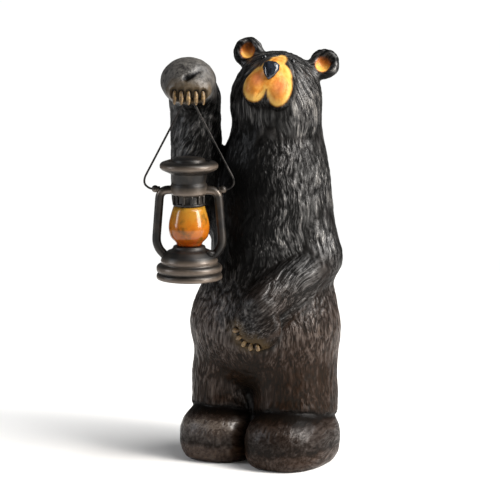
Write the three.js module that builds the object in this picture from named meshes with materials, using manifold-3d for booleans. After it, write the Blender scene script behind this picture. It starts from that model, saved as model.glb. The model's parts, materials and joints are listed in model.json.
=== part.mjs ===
// A standing bear figurine, cast in resin and painted, that holds up a small tubular lantern by its wire
// bail. Millimetres, +Z up. The bear faces -Y and its left side is +X. The origin is on the flat underside,
// below the middle of the hips.
import * as THREE from "three";
import { triTable } from "three/addons/objects/MarchingCubes.js";
import { mergeVertices } from "three/addons/utils/BufferGeometryUtils.js";
import Module from "manifold-3d";

// Driving dimensions of the bear
const BEAR_HEIGHT = 305;
const HOOK_CLAW_LENGTH = 10;
const HOOK_CLAW_WIDTH = 3.6;
const RESTING_CLAW_LENGTH = 6;
const RESTING_CLAW_WIDTH = 3.6;

// Driving dimensions of the lantern
const TANK_RADIUS = 23.5;
const TANK_HEIGHT = 24;
const BURNER_RADIUS = 11.5;
const GLOBE_RADIUS = 14.6;
const GLOBE_HEIGHT = 28;
const CHIMNEY_RADIUS = 13;
const CHIMNEY_HEIGHT = 23.7;
const HOOD_RADIUS = 20.8;
const HOOD_HEIGHT = 11.6;
const AIR_TUBE_DIAMETER = 6.2;
const AIR_TUBE_SPREAD_AT_TANK = 23.8;
const AIR_TUBE_SPREAD_AT_CHIMNEY = 20.6;
const FILLER_CAP_RADIUS = 3.3;
const LUG_RADIUS = 2.6;
const LUG_ABOVE_GLOBE = 12.5;
const WIRE_DIAMETER = 1.5;
const BAIL_HALF_WIDTH = 31.8;
const BAIL_TOP_HALF_WIDTH = 3;
const BAIL_RISE = 62.5;

// Clearances between the pieces
const LANTERN_TO_BEAR = 3;
const WIRE_CLEARANCE = 0.4;
const GLOBE_CLEARANCE = 0.35;
const HOOK_CHANNEL = 2.6;

// Fineness of the faceted surfaces
const SAMPLE_STEP = 2.6;
const BEAR_TRIANGLES = 4850;
const LATHE_SIDES = 24;
const TUBE_SIDES = 8;

// The bear's free form is laid out in parts, this many to its height.
const PARTS_IN_HEIGHT = 304;
const part = BEAR_HEIGHT / PARTS_IN_HEIGHT;

const wasm = await Module();
wasm.setup();

const vec = (x, y, z) => new THREE.Vector3(x, y, z);
const radians = THREE.MathUtils.degToRad;

// Solids and meshes

// A closed geometry as a solid that can be joined to others and cut.
function solidOf(geometry) {
  const bare = new THREE.BufferGeometry().setAttribute("position", geometry.getAttribute("position"));
  if (geometry.index) bare.setIndex(geometry.index);
  const merged = mergeVertices(bare, 1e-4);
  const corners = merged.index.array;
  const whole = [];
  for (let i = 0; i < corners.length; i += 3) {
    const [a, b, c] = corners.subarray(i, i + 3);
    if (a !== b && b !== c && c !== a) whole.push(a, b, c);
  }
  return new wasm.Manifold(
    new wasm.Mesh({
      numProp: 3,
      vertProperties: new Float32Array(merged.getAttribute("position").array),
      triVerts: new Uint32Array(whole),
    }),
  );
}

// A solid as a geometry for a mesh.
function geometryOf(solid) {
  const mesh = solid.getMesh();
  const positions = new Float32Array(mesh.numVert * 3);
  for (let i = 0; i < mesh.numVert; i++) {
    positions.set(mesh.vertProperties.subarray(i * mesh.numProp, i * mesh.numProp + 3), i * 3);
  }
  const geometry = new THREE.BufferGeometry();
  geometry.setAttribute("position", new THREE.BufferAttribute(positions, 3));
  geometry.setIndex(new THREE.BufferAttribute(new Uint32Array(mesh.triVerts), 1));
  const faceted = geometry.toNonIndexed();
  faceted.computeVertexNormals();
  return faceted;
}

const joined = (solids) => solids.reduce((all, next) => all.add(next));

// A body of revolution about +Z from [radius, height] pairs that start and end on the axis, bottom first.
function turned(profile, sides = LATHE_SIDES) {
  const points = profile.map(([radius, height]) => new THREE.Vector2(radius, height));
  return new THREE.LatheGeometry(points, sides).rotateX(Math.PI / 2);
}

// A round rod along a curve, with flat ends.
function rod(curve, diameter, steps, sides = TUBE_SIDES) {
  const section = new THREE.Shape().absarc(0, 0, diameter / 2, 0, 2 * Math.PI);
  return new THREE.ExtrudeGeometry(section, {
    extrudePath: curve,
    steps,
    curveSegments: sides / 2,
    bevelEnabled: false,
  });
}

// A path of straight runs whose corners are rounded.
function roundedPath(corners, radius) {
  const path = new THREE.CurvePath();
  let start = corners[0];
  for (let i = 1; i < corners.length - 1; i++) {
    const [before, corner, after] = corners.slice(i - 1, i + 2);
    const reach = Math.min(radius, corner.distanceTo(before) / 2, corner.distanceTo(after) / 2);
    const into = corner.clone().add(before.clone().sub(corner).setLength(reach));
    const out = corner.clone().add(after.clone().sub(corner).setLength(reach));
    path.add(new THREE.LineCurve3(start, into));
    path.add(new THREE.QuadraticBezierCurve3(into, corner, out));
    start = out;
  }
  path.add(new THREE.LineCurve3(start, corners.at(-1)));
  return path;
}

// Where the lantern hangs

// The forearm stands upright, and the paw reaches forward from it towards the lantern's axis. The reach is
// what the lantern's widest ring and the forearm need beside each other.
const FOREARM_AXIS = vec(-49, -20, 0);
const FOREARM_RADIUS = 17.5;
const REACH_HEADING = radians(24);
const HOOK_HEIGHT = 263;
const widest = Math.max(TANK_RADIUS, HOOD_RADIUS);
const reach = FOREARM_RADIUS * part + widest + LANTERN_TO_BEAR;
const reachDirection = vec(Math.sin(REACH_HEADING), -Math.cos(REACH_HEADING), 0);
const hook = FOREARM_AXIS.clone().multiplyScalar(part).addScaledVector(reachDirection, reach);
hook.z = HOOK_HEIGHT * part;

// The lantern's heights, from the underside of its tank upwards
const tankTop = TANK_HEIGHT;
const globeTop = tankTop + GLOBE_HEIGHT;
const lugHeight = globeTop + LUG_ABOVE_GLOBE;
const chimneyTop = globeTop + CHIMNEY_HEIGHT;
const hoodTop = chimneyTop + HOOD_HEIGHT;
const lanternFoot = hook.z - BAIL_RISE - lugHeight;

// The bear as a field: a signed distance, negative inside, made of forms that blend into each other

const smoothUnion = (a, b, blend) => {
  const overlap = Math.max(blend - Math.abs(a - b), 0) / blend;
  return Math.min(a, b) - (overlap * overlap * blend) / 4;
};
const smoothCut = (a, b, blend) => -smoothUnion(-a, b, blend);

// An ellipsoid, turned by degrees about its own x, y and z axes. A squareness above 2 fills its corners out
// towards a box. Each form has a box that it lies in.
function ellipsoid(centre, radii, turn = [0, 0, 0], squareness = 2) {
  const rotation = new THREE.Matrix4().makeRotationFromEuler(new THREE.Euler(...turn.map(radians), "ZYX"));
  const toLocal = new THREE.Matrix4().makeTranslation(...centre).multiply(rotation).invert().elements;
  const [rx, ry, rz] = radii;
  const form = (x, y, z) => {
    const lx = (toLocal[0] * x + toLocal[4] * y + toLocal[8] * z + toLocal[12]) / rx;
    const ly = (toLocal[1] * x + toLocal[5] * y + toLocal[9] * z + toLocal[13]) / ry;
    const lz = (toLocal[2] * x + toLocal[6] * y + toLocal[10] * z + toLocal[14]) / rz;
    const powers = [lx, ly, lz].map((value) => Math.abs(value) ** squareness);
    const near = (powers[0] + powers[1] + powers[2]) ** (1 / squareness);
    if (near < 1e-9) return -Math.min(rx, ry, rz);
    const [sx, sy, sz] = [lx, ly, lz].map((value) => (Math.abs(value) / near) ** (squareness - 1));
    return (near - 1) / Math.hypot(sx / rx, sy / ry, sz / rz);
  };
  const box = new THREE.Box3().setFromPoints([vec(...centre)]).expandByScalar(Math.max(rx, ry, rz));
  return Object.assign(form, { box });
}

// A limb: a straight bar with round ends whose radius changes evenly.
function limb(from, to, fromRadius, toRadius) {
  const [ax, ay, az] = from;
  const [dx, dy, dz] = to.map((value, i) => value - from[i]);
  const squared = dx * dx + dy * dy + dz * dz;
  const form = (x, y, z) => {
    const along = ((x - ax) * dx + (y - ay) * dy + (z - az) * dz) / squared;
    const t = Math.min(Math.max(along, 0), 1);
    const gap = Math.hypot(x - ax - t * dx, y - ay - t * dy, z - az - t * dz);
    return gap - fromRadius - t * (toRadius - fromRadius);
  };
  const box = new THREE.Box3().setFromPoints([vec(...from), vec(...to)]);
  return Object.assign(form, { box: box.expandByScalar(Math.max(fromRadius, toRadius)) });
}

// The head is drawn level, facing -Y, about its own centre, and then turned towards its left, tilted up and
// rolled.
const HEAD_CENTRE = [7, 1, 264];
const HEAD_YAW = 18;
const HEAD_PITCH = 18;
const HEAD_ROLL = 8;
const headPose = new THREE.Matrix4()
  .makeTranslation(...HEAD_CENTRE)
  .multiply(new THREE.Matrix4().makeRotationZ(radians(HEAD_YAW)))
  .multiply(new THREE.Matrix4().makeRotationX(radians(-HEAD_PITCH)))
  .multiply(new THREE.Matrix4().makeRotationY(radians(HEAD_ROLL)));
const fromHead = headPose.clone().invert().elements;

// A form given in the head's own frame.
function onHead(level) {
  const form = (x, y, z) =>
    level(
      fromHead[0] * x + fromHead[4] * y + fromHead[8] * z + fromHead[12],
      fromHead[1] * x + fromHead[5] * y + fromHead[9] * z + fromHead[13],
      fromHead[2] * x + fromHead[6] * y + fromHead[10] * z + fromHead[14],
    );
  return Object.assign(form, { box: level.box.clone().applyMatrix4(headPose) });
}

// Where the hook is, in parts
const hookPart = hook.clone().divideScalar(part);
const pawCentre = hookPart.clone().addScaledVector(reachDirection, -15);
pawCentre.z += 12.4;
pawCentre.x -= 2;
const wrist = [FOREARM_AXIS.x, FOREARM_AXIS.y, hookPart.z - 2];
const elbow = [FOREARM_AXIS.x + 2, FOREARM_AXIS.y + 1, 190];

// The forms in the order in which they're joined: form, blend, and whether it cuts.
const add = (form, blend) => ({ form, blend, cuts: false });
const cut = (form, blend) => ({ form, blend, cuts: true });

function trunkForms() {
  return [
    add(ellipsoid([-2.5, 0, 97], [55.5, 48, 50]), 1),
    add(ellipsoid([1, 4, 156], [44, 41, 78]), 18),
    add(ellipsoid([5, 4, 213], [34.5, 35, 60]), 22),
    add(ellipsoid([0, 18, 80], [42, 32, 44]), 14),
    add(ellipsoid([0, 47, 74], [7, 8, 9]), 6),
  ];
}

function legForms() {
  const forms = [add(ellipsoid([-2, 8, 22], [34, 30, 30]), 8)];
  for (const side of [-1, 1]) {
    forms.push(
      add(ellipsoid([side * 26 - 3, 0, 59], [28, 34, 32]), 9),
      add(ellipsoid([side * 26 - 2, 0, 42], [28, 33, 24]), 8),
      add(ellipsoid([side * 27.5, -12 - side * 1.5, 16], [29.6, 40.6, 24.8], [0, 0, 0], 2.5), 4),
      add(ellipsoid([side * 23 - 2, 18, 9], [21, 22, 25]), 8),
    );
  }
  forms.push(cut(ellipsoid([-1, -52, 20], [2.5, 30, 34]), 4));
  return forms;
}

function headForms() {
  const forms = [
    add(onHead(ellipsoid([0, 0, 0], [31, 31, 31])), 16),
    add(onHead(ellipsoid([0, -27, 0], [15, 16, 15])), 8),
    add(onHead(ellipsoid([0, -26, 12], [9, 15, 8])), 8),
  ];
  for (const side of [-1, 1]) {
    forms.push(
      add(onHead(ellipsoid([side * 14, -8, -8], [14, 17, 18])), 10),
      add(onHead(ellipsoid([side * 8.8, -33.5, -4.2], [9.4, 9, 12.4])), 3),
      add(onHead(ellipsoid([side * 28 + 1.7, -3, 26.6], [11, 6, 11])), 4),
      cut(onHead(ellipsoid([side * 28.5 + 1.7, -8.5, 27], [7, 6, 7])), 1.5),
    );
  }
  forms.push(add(onHead(ellipsoid([0, -40, 9.5], [6.3, 5, 5.8])), 1.5));
  return forms;
}

const RESTING_PAW = [16.5, -46.5, 104.5];

function restingArmForms() {
  return [
    add(limb([20, 3, 200], [39, 5, 149], 12, 16.5), 12),
    add(limb([38.5, 0, 147.5], [18.5, -44.5, 119], 17, 13.5), 4),
    add(ellipsoid(RESTING_PAW, [17.5, 10.5, 17]), 3),
  ];
}

function raisedArmForms() {
  return [
    add(limb([-23, 2, 206], [-41, -14, 183], 19, 18), 10),
    add(limb(elbow, wrist, 19, 17.5), 3),
    add(limb(wrist, pawCentre.toArray(), 16, 14), 6),
    add(ellipsoid(pawCentre.toArray(), [20, 18, 16.5]), 6),
    add(ellipsoid([hookPart.x, hookPart.y, hookPart.z + 8], [16, 9.5, 10], [0, 0, 24]), 6),
  ];
}

const BEAR_FORMS = [
  ...trunkForms(),
  ...legForms(),
  ...headForms(),
  ...restingArmForms(),
  ...raisedArmForms(),
];

function bearField(x, y, z) {
  let distance = Infinity;
  for (const { form, blend, cuts } of BEAR_FORMS) {
    const next = form(x, y, z);
    if (distance === Infinity) distance = next;
    else distance = cuts ? smoothCut(distance, next, blend) : smoothUnion(distance, next, blend);
  }
  return distance;
}

// Facets of a field

// The corners of a cell as steps along x, y and z, and its edges as pairs of corners, in the tables' order.
const CORNERS = [
  [0, 0, 0],
  [1, 0, 0],
  [1, 1, 0],
  [0, 1, 0],
  [0, 0, 1],
  [1, 0, 1],
  [1, 1, 1],
  [0, 1, 1],
];
const EDGES = [0, 1, 2, 3].map((n) => [n, (n + 1) % 4]);
EDGES.push(...EDGES.map(([a, b]) => [a + 4, b + 4]), ...[0, 1, 2, 3].map((n) => [n, n + 4]));

// Marches through the cells of a grid over a box, and gives the closed surface where the field is zero.
function surfaceOf(field, low, high, step) {
  const [nx, ny, nz] = low.map((from, axis) => Math.ceil((high[axis] - from) / step) + 1);
  const strides = [1, nx, nx * ny];
  const samples = new Float64Array(nx * ny * nz);
  for (let n = 0; n < samples.length; n++) {
    const [i, j, k] = [n % nx, Math.floor(n / nx) % ny, Math.floor(n / (nx * ny))];
    samples[n] = field(low[0] + i * step, low[1] + j * step, low[2] + k * step);
  }
  const cornerOffsets = CORNERS.map(([i, j, k]) => i * strides[0] + j * strides[1] + k * strides[2]);
  const points = [];
  const triangles = [];
  const known = new Map();
  const crossing = (cell, edge) => {
    const [a, b] = EDGES[edge].map((corner) => cell + cornerOffsets[corner]).sort((m, n) => m - n);
    const axis = strides.indexOf(b - a);
    const key = a * 3 + axis;
    if (!known.has(key)) {
      const point = [a % nx, Math.floor(a / nx) % ny, Math.floor(a / (nx * ny))];
      point[axis] += THREE.MathUtils.clamp(samples[a] / (samples[a] - samples[b]), 0.05, 0.95);
      known.set(key, points.length);
      points.push(point.map((value, i) => low[i] + step * value));
    }
    return known.get(key);
  };
  for (let k = 0; k < nz - 1; k++) {
    for (let j = 0; j < ny - 1; j++) {
      for (let i = 0; i < nx - 1; i++) {
        const cell = i + strides[1] * j + strides[2] * k;
        let inside = 0;
        cornerOffsets.forEach((offset, corner) => {
          if (samples[cell + offset] < 0) inside |= 1 << corner;
        });
        for (let at = inside * 16; triTable[at] !== -1; at += 3) {
          triangles.push([0, 2, 1].map((n) => crossing(cell, triTable[at + n])));
        }
      }
    }
  }
  return { points, triangles };
}

// Moves each point along the field's slope until it lies on the surface.
function settle(points, field, rounds = 3) {
  const nudge = 0.05;
  for (const p of points) {
    for (let round = 0; round < rounds; round++) {
      const here = field(...p);
      const slope = [0, 1, 2].map((axis) => {
        const beside = [...p];
        beside[axis] += nudge;
        return (field(...beside) - here) / nudge;
      });
      const steep = Math.max(slope[0] ** 2 + slope[1] ** 2 + slope[2] ** 2, 0.2);
      for (let axis = 0; axis < 3; axis++) p[axis] -= (0.8 * here * slope[axis]) / steep;
    }
  }
}

// Merges the edges that cost the least shape until only so many triangles are left. The cost of a place is
// its summed squared distance from the planes of the triangles merged there.
function simplified({ points, triangles }, target) {
  const faces = triangles.map((face) => [...face]);
  const around = points.map(() => new Set());
  faces.forEach((face, f) => face.forEach((v) => around[v].add(f)));
  const normalOf = (a, b, c) => {
    const [ux, uy, uz] = [b[0] - a[0], b[1] - a[1], b[2] - a[2]];
    const [vx, vy, vz] = [c[0] - a[0], c[1] - a[1], c[2] - a[2]];
    return [uy * vz - uz * vy, uz * vx - ux * vz, ux * vy - uy * vx];
  };
  const quadrics = points.map(() => new Float64Array(10));
  for (const face of faces) {
    const [a, b, c] = face.map((v) => points[v]);
    const n = normalOf(a, b, c);
    const length = Math.hypot(...n);
    if (length < 1e-12) continue;
    const [x, y, z] = n.map((value) => value / length);
    const w = -(x * a[0] + y * a[1] + z * a[2]);
    const terms = [x * x, x * y, x * z, x * w, y * y, y * z, y * w, z * z, z * w, w * w];
    for (const v of face) terms.forEach((term, i) => (quadrics[v][i] += term * length));
  }
  const costAt = (q, [x, y, z]) =>
    q[0] * x * x + 2 * q[1] * x * y + 2 * q[2] * x * z + 2 * q[3] * x + q[4] * y * y + 2 * q[5] * y * z +
    2 * q[6] * y + q[7] * z * z + 2 * q[8] * z + q[9];
  const system = new THREE.Matrix3();
  const bestPlace = (a, b) => {
    const q = quadrics[a].map((value, i) => value + quadrics[b][i]);
    const middle = points[a].map((value, axis) => (value + points[b][axis]) / 2);
    const span = Math.hypot(...points[a].map((value, axis) => value - points[b][axis]));
    system.set(q[0], q[1], q[2], q[1], q[4], q[5], q[2], q[5], q[7]);
    const trace = q[0] + q[4] + q[7];
    let place = middle;
    if (Math.abs(system.determinant()) > 1e-6 * trace ** 3) {
      const solved = vec(-q[3], -q[6], -q[8]).applyMatrix3(system.invert()).toArray();
      const away = Math.hypot(...solved.map((value, axis) => value - middle[axis]));
      if (away < span) place = solved;
    }
    return { place, cost: Math.max(costAt(q, place), 0) + 1e-3 * span * span };
  };
  const stamp = new Uint32Array(points.length);
  const heap = [];
  const swap = (i, j) => ([heap[i], heap[j]] = [heap[j], heap[i]]);
  const push = (entry) => {
    heap.push(entry);
    for (let i = heap.length - 1; i > 0; ) {
      const parent = (i - 1) >> 1;
      if (heap[parent].cost <= heap[i].cost) break;
      swap(i, parent);
      i = parent;
    }
  };
  const pop = () => {
    const top = heap[0];
    const last = heap.pop();
    if (heap.length) {
      heap[0] = last;
      for (let i = 0; ; ) {
        let least = i;
        for (const child of [2 * i + 1, 2 * i + 2]) {
          if (child < heap.length && heap[child].cost < heap[least].cost) least = child;
        }
        if (least === i) break;
        swap(i, least);
        i = least;
      }
    }
    return top;
  };
  const offer = (a, b) => push({ a, b, seen: stamp[a] + stamp[b], ...bestPlace(a, b) });
  const neighbours = (v) => {
    const found = new Set();
    for (const f of around[v]) for (const w of faces[f]) if (w !== v) found.add(w);
    return found;
  };
  const turnsOver = (v, other, place) => {
    for (const f of around[v]) {
      if (faces[f].includes(other)) continue;
      const before = normalOf(...faces[f].map((w) => points[w]));
      const after = normalOf(...faces[f].map((w) => (w === v ? place : points[w])));
      const agree = before[0] * after[0] + before[1] * after[1] + before[2] * after[2];
      if (agree <= 0.3 * Math.hypot(...before) * Math.hypot(...after)) return true;
    }
    return false;
  };
  for (const face of faces) {
    face.forEach((a, i) => {
      const b = face[(i + 1) % 3];
      if (a < b) offer(a, b);
    });
  }
  let left = faces.length;
  while (left > target && heap.length) {
    const { a, b, seen, place } = pop();
    if (!around[a].size || !around[b].size || seen !== stamp[a] + stamp[b]) continue;
    const shared = [...around[a]].filter((f) => around[b].has(f));
    if (shared.length !== 2) continue;
    const nearB = neighbours(b);
    const common = [...neighbours(a)].filter((v) => nearB.has(v));
    if (common.length !== 2 || turnsOver(a, b, place) || turnsOver(b, a, place)) continue;
    for (const f of shared) for (const v of faces[f]) around[v].delete(f);
    for (const f of around[b]) {
      faces[f][faces[f].indexOf(b)] = a;
      around[a].add(f);
    }
    around[b].clear();
    shared.forEach((f) => (faces[f] = null));
    left -= 2;
    points[a] = place;
    quadrics[a] = quadrics[a].map((value, i) => value + quadrics[b][i]);
    stamp[a]++;
    stamp[b]++;
    for (const v of neighbours(a)) offer(a, v);
  }
  return { points, triangles: faces.filter(Boolean) };
}

// A surface as a geometry, scaled by one factor.
function surfaceGeometry({ points, triangles }, factor) {
  const geometry = new THREE.BufferGeometry();
  const scaled = points.flat().map((value) => value * factor);
  geometry.setAttribute("position", new THREE.Float32BufferAttribute(scaled, 3));
  geometry.setIndex(triangles.flat());
  return geometry;
}

// The lantern, about its own axis with the middle of the tank's underside at zero. Its air tubes stand to
// the left and right of the globe, along x.

const alongLantern = (x, z) => vec(x, 0, z);
const hoodUnderside = chimneyTop;

function tankProfile() {
  const r = TANK_RADIUS;
  return [
    [0, 0],
    [r - 1.6, 0],
    [r, 1.2],
    [r, 3.4],
    [r - 1.5, 4.7],
    [r, 6],
    [r, 9.6],
    [r - 1, 10.8],
    [r - 3.2, 11.2],
    [r - 3.2, 13.4],
    [r - 4.2, 17.2],
    [r - 7.6, 20.4],
    [BURNER_RADIUS + 1, TANK_HEIGHT - 2.4],
    [BURNER_RADIUS, TANK_HEIGHT],
    [0, TANK_HEIGHT],
  ];
}

function chimneyProfile() {
  const r = CHIMNEY_RADIUS;
  const from = globeTop + 2 * GLOBE_CLEARANCE;
  return [
    [0, from],
    [r - 1.8, from],
    [r - 1.3, from + 1.4],
    [r - 2, from + 4.2],
    [r - 0.6, from + 8.2],
    [r, from + 9.4],
    [r, from + 15.4],
    [r - 0.8, from + 17],
    [r, hoodUnderside],
    [HOOD_RADIUS - 1, hoodUnderside + 3.4],
    [HOOD_RADIUS, hoodUnderside + 4.8],
    [HOOD_RADIUS, hoodUnderside + 7.4],
    [HOOD_RADIUS - 1.6, hoodUnderside + 8.8],
    [HOOD_RADIUS - 5.6, hoodUnderside + 10.4],
    [HOOD_RADIUS - 6.4, hoodUnderside + 8.8],
    [HOOD_RADIUS - 8.4, hoodUnderside + 8.8],
    [HOOD_RADIUS - 9, hoodUnderside + 11.4],
    [HOOD_RADIUS - 12, hoodTop],
    [0, hoodTop],
  ];
}

// An air tube rises from the tank's shoulder beside the globe and turns into the chimney.
function airTube(side) {
  const path = roundedPath(
    [
      alongLantern(side * (TANK_RADIUS - 9), 14),
      alongLantern(side * AIR_TUBE_SPREAD_AT_TANK, TANK_HEIGHT - 0.5),
      alongLantern(side * AIR_TUBE_SPREAD_AT_CHIMNEY, lugHeight - 0.6),
      alongLantern(side * (CHIMNEY_RADIUS - 5), lugHeight - 0.6),
    ],
    7,
  );
  return solidOf(rod(path, AIR_TUBE_DIAMETER, 18));
}

const lugCentre = AIR_TUBE_SPREAD_AT_CHIMNEY + AIR_TUBE_DIAMETER / 2 + 0.4;
const lugHoleFloor = lugCentre - LUG_RADIUS * 0.2;

// A round boss on the outside of the air tube's corner.
function lug(side) {
  const boss = new THREE.SphereGeometry(LUG_RADIUS, 10, 8).translate(side * lugCentre, 0, lugHeight);
  return solidOf(boss);
}

// The hole in a lug that the bail's end turns in.
function lugHole(side) {
  const length = LUG_RADIUS * 2;
  const hole = new THREE.CylinderGeometry(1, 1, length, TUBE_SIDES);
  const radius = WIRE_DIAMETER / 2 + WIRE_CLEARANCE;
  hole.scale(radius, 1, radius).rotateZ(Math.PI / 2);
  return solidOf(hole.translate(side * (lugHoleFloor + length / 2), 0, lugHeight));
}

function fillerCap() {
  const cap = turned([
    [0, 0],
    [FILLER_CAP_RADIUS * 0.8, 0],
    [FILLER_CAP_RADIUS * 0.8, 4.6],
    [FILLER_CAP_RADIUS, 4.9],
    [FILLER_CAP_RADIUS, 7.2],
    [FILLER_CAP_RADIUS * 0.8, 7.8],
    [0, 7.8],
  ], 12);
  return solidOf(cap.rotateX(radians(14)).rotateZ(radians(68)).translate(14.2, -5.8, TANK_HEIGHT - 10));
}

function lanternCasting() {
  const solids = [solidOf(turned(tankProfile())), solidOf(turned(chimneyProfile())), fillerCap()];
  for (const side of [-1, 1]) solids.push(airTube(side), lug(side));
  return joined(solids).subtract(lugHole(-1)).subtract(lugHole(1));
}

// The globe stands clear of the burner below it and the chimney above it.
function globeProfile() {
  const foot = tankTop + GLOBE_CLEARANCE;
  const top = globeTop + GLOBE_CLEARANCE;
  const share = (radius, height) => new THREE.Vector2(radius * GLOBE_RADIUS, foot + height * (top - foot));
  const wall = new THREE.SplineCurve([
    share(0.6, 0),
    share(0.66, 0.08),
    share(0.92, 0.21),
    share(1, 0.42),
    share(0.98, 0.6),
    share(0.87, 0.82),
    share(0.76, 1),
  ]);
  return [[0, foot], ...wall.getPoints(14).map((point) => [point.x, point.y]), [0, top]];
}

// The bail's wire: a hook into each lug, a bend, and a straight run up to a narrow top.
function bailPath() {
  const end = lugHoleFloor + WIRE_CLEARANCE;
  const half = [
    alongLantern(end, lugHeight),
    alongLantern(end + LUG_RADIUS * 1.4, lugHeight),
    alongLantern(BAIL_HALF_WIDTH, lugHeight + 3),
    alongLantern(BAIL_HALF_WIDTH, lugHeight + 7.6),
    alongLantern(BAIL_TOP_HALF_WIDTH, lugHeight + BAIL_RISE),
  ];
  const mirrored = half.map((point) => alongLantern(-point.x, point.z)).reverse();
  return roundedPath([...half, ...mirrored], 5);
}

// The lantern's place in the scene, and a geometry about its axis carried there.
const lantern = new THREE.Group();
lantern.position.set(hook.x, hook.y, lanternFoot);
lantern.rotation.z = REACH_HEADING;
lantern.updateMatrix();

const hung = (geometry) => geometry.applyMatrix4(lantern.matrix);

// The bear as one solid

// Claws lie along the front edge of a paw as short pegs.
const CLAWS = [-2, -1, 0, 1, 2];

function claw(length, width) {
  return new THREE.SphereGeometry(1, 8, 6).scale(width / 2, width / 2, length / 2);
}

// The point on the bear's surface, in parts, that is met first on the way from one point to another.
function met(from, to) {
  const stride = to.clone().sub(from).setLength(0.2);
  const place = from.clone();
  while (bearField(place.x, place.y, place.z) > 0 && place.distanceTo(to) > 0.2) place.add(stride);
  return place;
}

function hookClaws() {
  return CLAWS.map((n) => {
    const inside = vec(pawCentre.x, pawCentre.y, hookPart.z + 9.5);
    const heading = REACH_HEADING + radians(6 + n * 12);
    const outside = inside.clone().add(vec(Math.sin(heading), -Math.cos(heading), -0.2).setLength(40));
    const place = met(outside, inside).multiplyScalar(part);
    const peg = claw(HOOK_CLAW_LENGTH, HOOK_CLAW_WIDTH).rotateX(radians(-10)).rotateZ(heading);
    return solidOf(peg.translate(place.x, place.y, place.z));
  });
}

function restingClaws() {
  return CLAWS.map((n) => {
    const around = radians(238 + n * 22);
    const outward = vec(Math.cos(around), 0, Math.sin(around));
    const inside = vec(...RESTING_PAW).addScaledVector(outward, 14.5);
    const place = met(inside.clone().add(vec(0, -40, 0)), inside.clone().add(vec(0, 20, 0)));
    place.multiplyScalar(part);
    const peg = claw(RESTING_CLAW_LENGTH, RESTING_CLAW_WIDTH).rotateY(Math.PI / 2 - around);
    return solidOf(peg.translate(place.x, place.y, place.z));
  });
}

// The channel that the bail's wire rests in, behind the claws, and the slot that it's lifted out through.
function hookChannel() {
  const clear = WIRE_DIAMETER + 2 * WIRE_CLEARANCE;
  const wireRoom = rod(bailPath(), clear, 60);
  const reachAcross = 60;
  const slot = new THREE.BoxGeometry(reachAcross, HOOK_CHANNEL, 16);
  slot.translate(0, clear / 2 + HOOK_CHANNEL / 2 - 0.4, lugHeight + BAIL_RISE + clear / 2 - 8);
  const bridge = new THREE.BoxGeometry(reachAcross, clear / 2 + HOOK_CHANNEL, clear * 1.1);
  bridge.translate(0, (clear / 2 + HOOK_CHANNEL) / 2 - 0.4, lugHeight + BAIL_RISE + clear * 0.5);
  return joined([solidOf(hung(wireRoom)), solidOf(hung(slot)), solidOf(hung(bridge))]);
}

function bearSolid() {
  const room = BEAR_FORMS.reduce((all, { form }) => all.union(form.box), new THREE.Box3());
  const { min, max } = room.expandByScalar(2 * SAMPLE_STEP);
  const surface = surfaceOf(bearField, min.toArray(), max.toArray(), SAMPLE_STEP);
  settle(surface.points, bearField);
  const body = solidOf(surfaceGeometry(simplified(surface, BEAR_TRIANGLES), part));
  const below = new THREE.BoxGeometry(BEAR_HEIGHT, BEAR_HEIGHT, BEAR_HEIGHT);
  below.translate(0, 0, -BEAR_HEIGHT / 2);
  const whole = joined([body, ...hookClaws(), ...restingClaws()]);
  return whole.subtract(solidOf(below)).subtract(hookChannel());
}

// The scene

function piece(name, solid, finish) {
  const mesh = new THREE.Mesh(geometryOf(solid), new THREE.MeshStandardMaterial(finish));
  mesh.name = name;
  return mesh;
}

lantern.name = "lantern";
lantern.add(
  piece("lantern_casting", lanternCasting(), {
    color: "#3a3634",
    roughness: 0.45,
    metalness: 0.6,
  }),
  piece("lantern_globe", solidOf(turned(globeProfile())), {
    color: "#c8741c",
    roughness: 0.12,
    metalness: 0,
  }),
  piece("lantern_bail", solidOf(rod(bailPath(), WIRE_DIAMETER, 60, 6)), {
    color: "#4a4543",
    roughness: 0.4,
    metalness: 0.8,
  }),
);

const figurine = new THREE.Group();
figurine.name = "bear_figurine";
figurine.add(piece("bear", bearSolid(), { color: "#2b2420", roughness: 0.5, metalness: 0 }), lantern);

export default figurine;
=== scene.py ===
"""Looks of a cast resin bear figurine that holds up a small tubular lantern.

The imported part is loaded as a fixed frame, and finer pieces stand for its plain solids. Sizes are in
millimetres in the classes, and each mesh is made in metres, +Z up. The bear faces -Y.
"""

import json
import logging
import math
from dataclasses import dataclass, field
from enum import Enum, IntEnum
from itertools import product

import bpy
import numpy as np
from mathutils import Matrix, Vector
from mathutils.bvhtree import BVHTree

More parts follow.
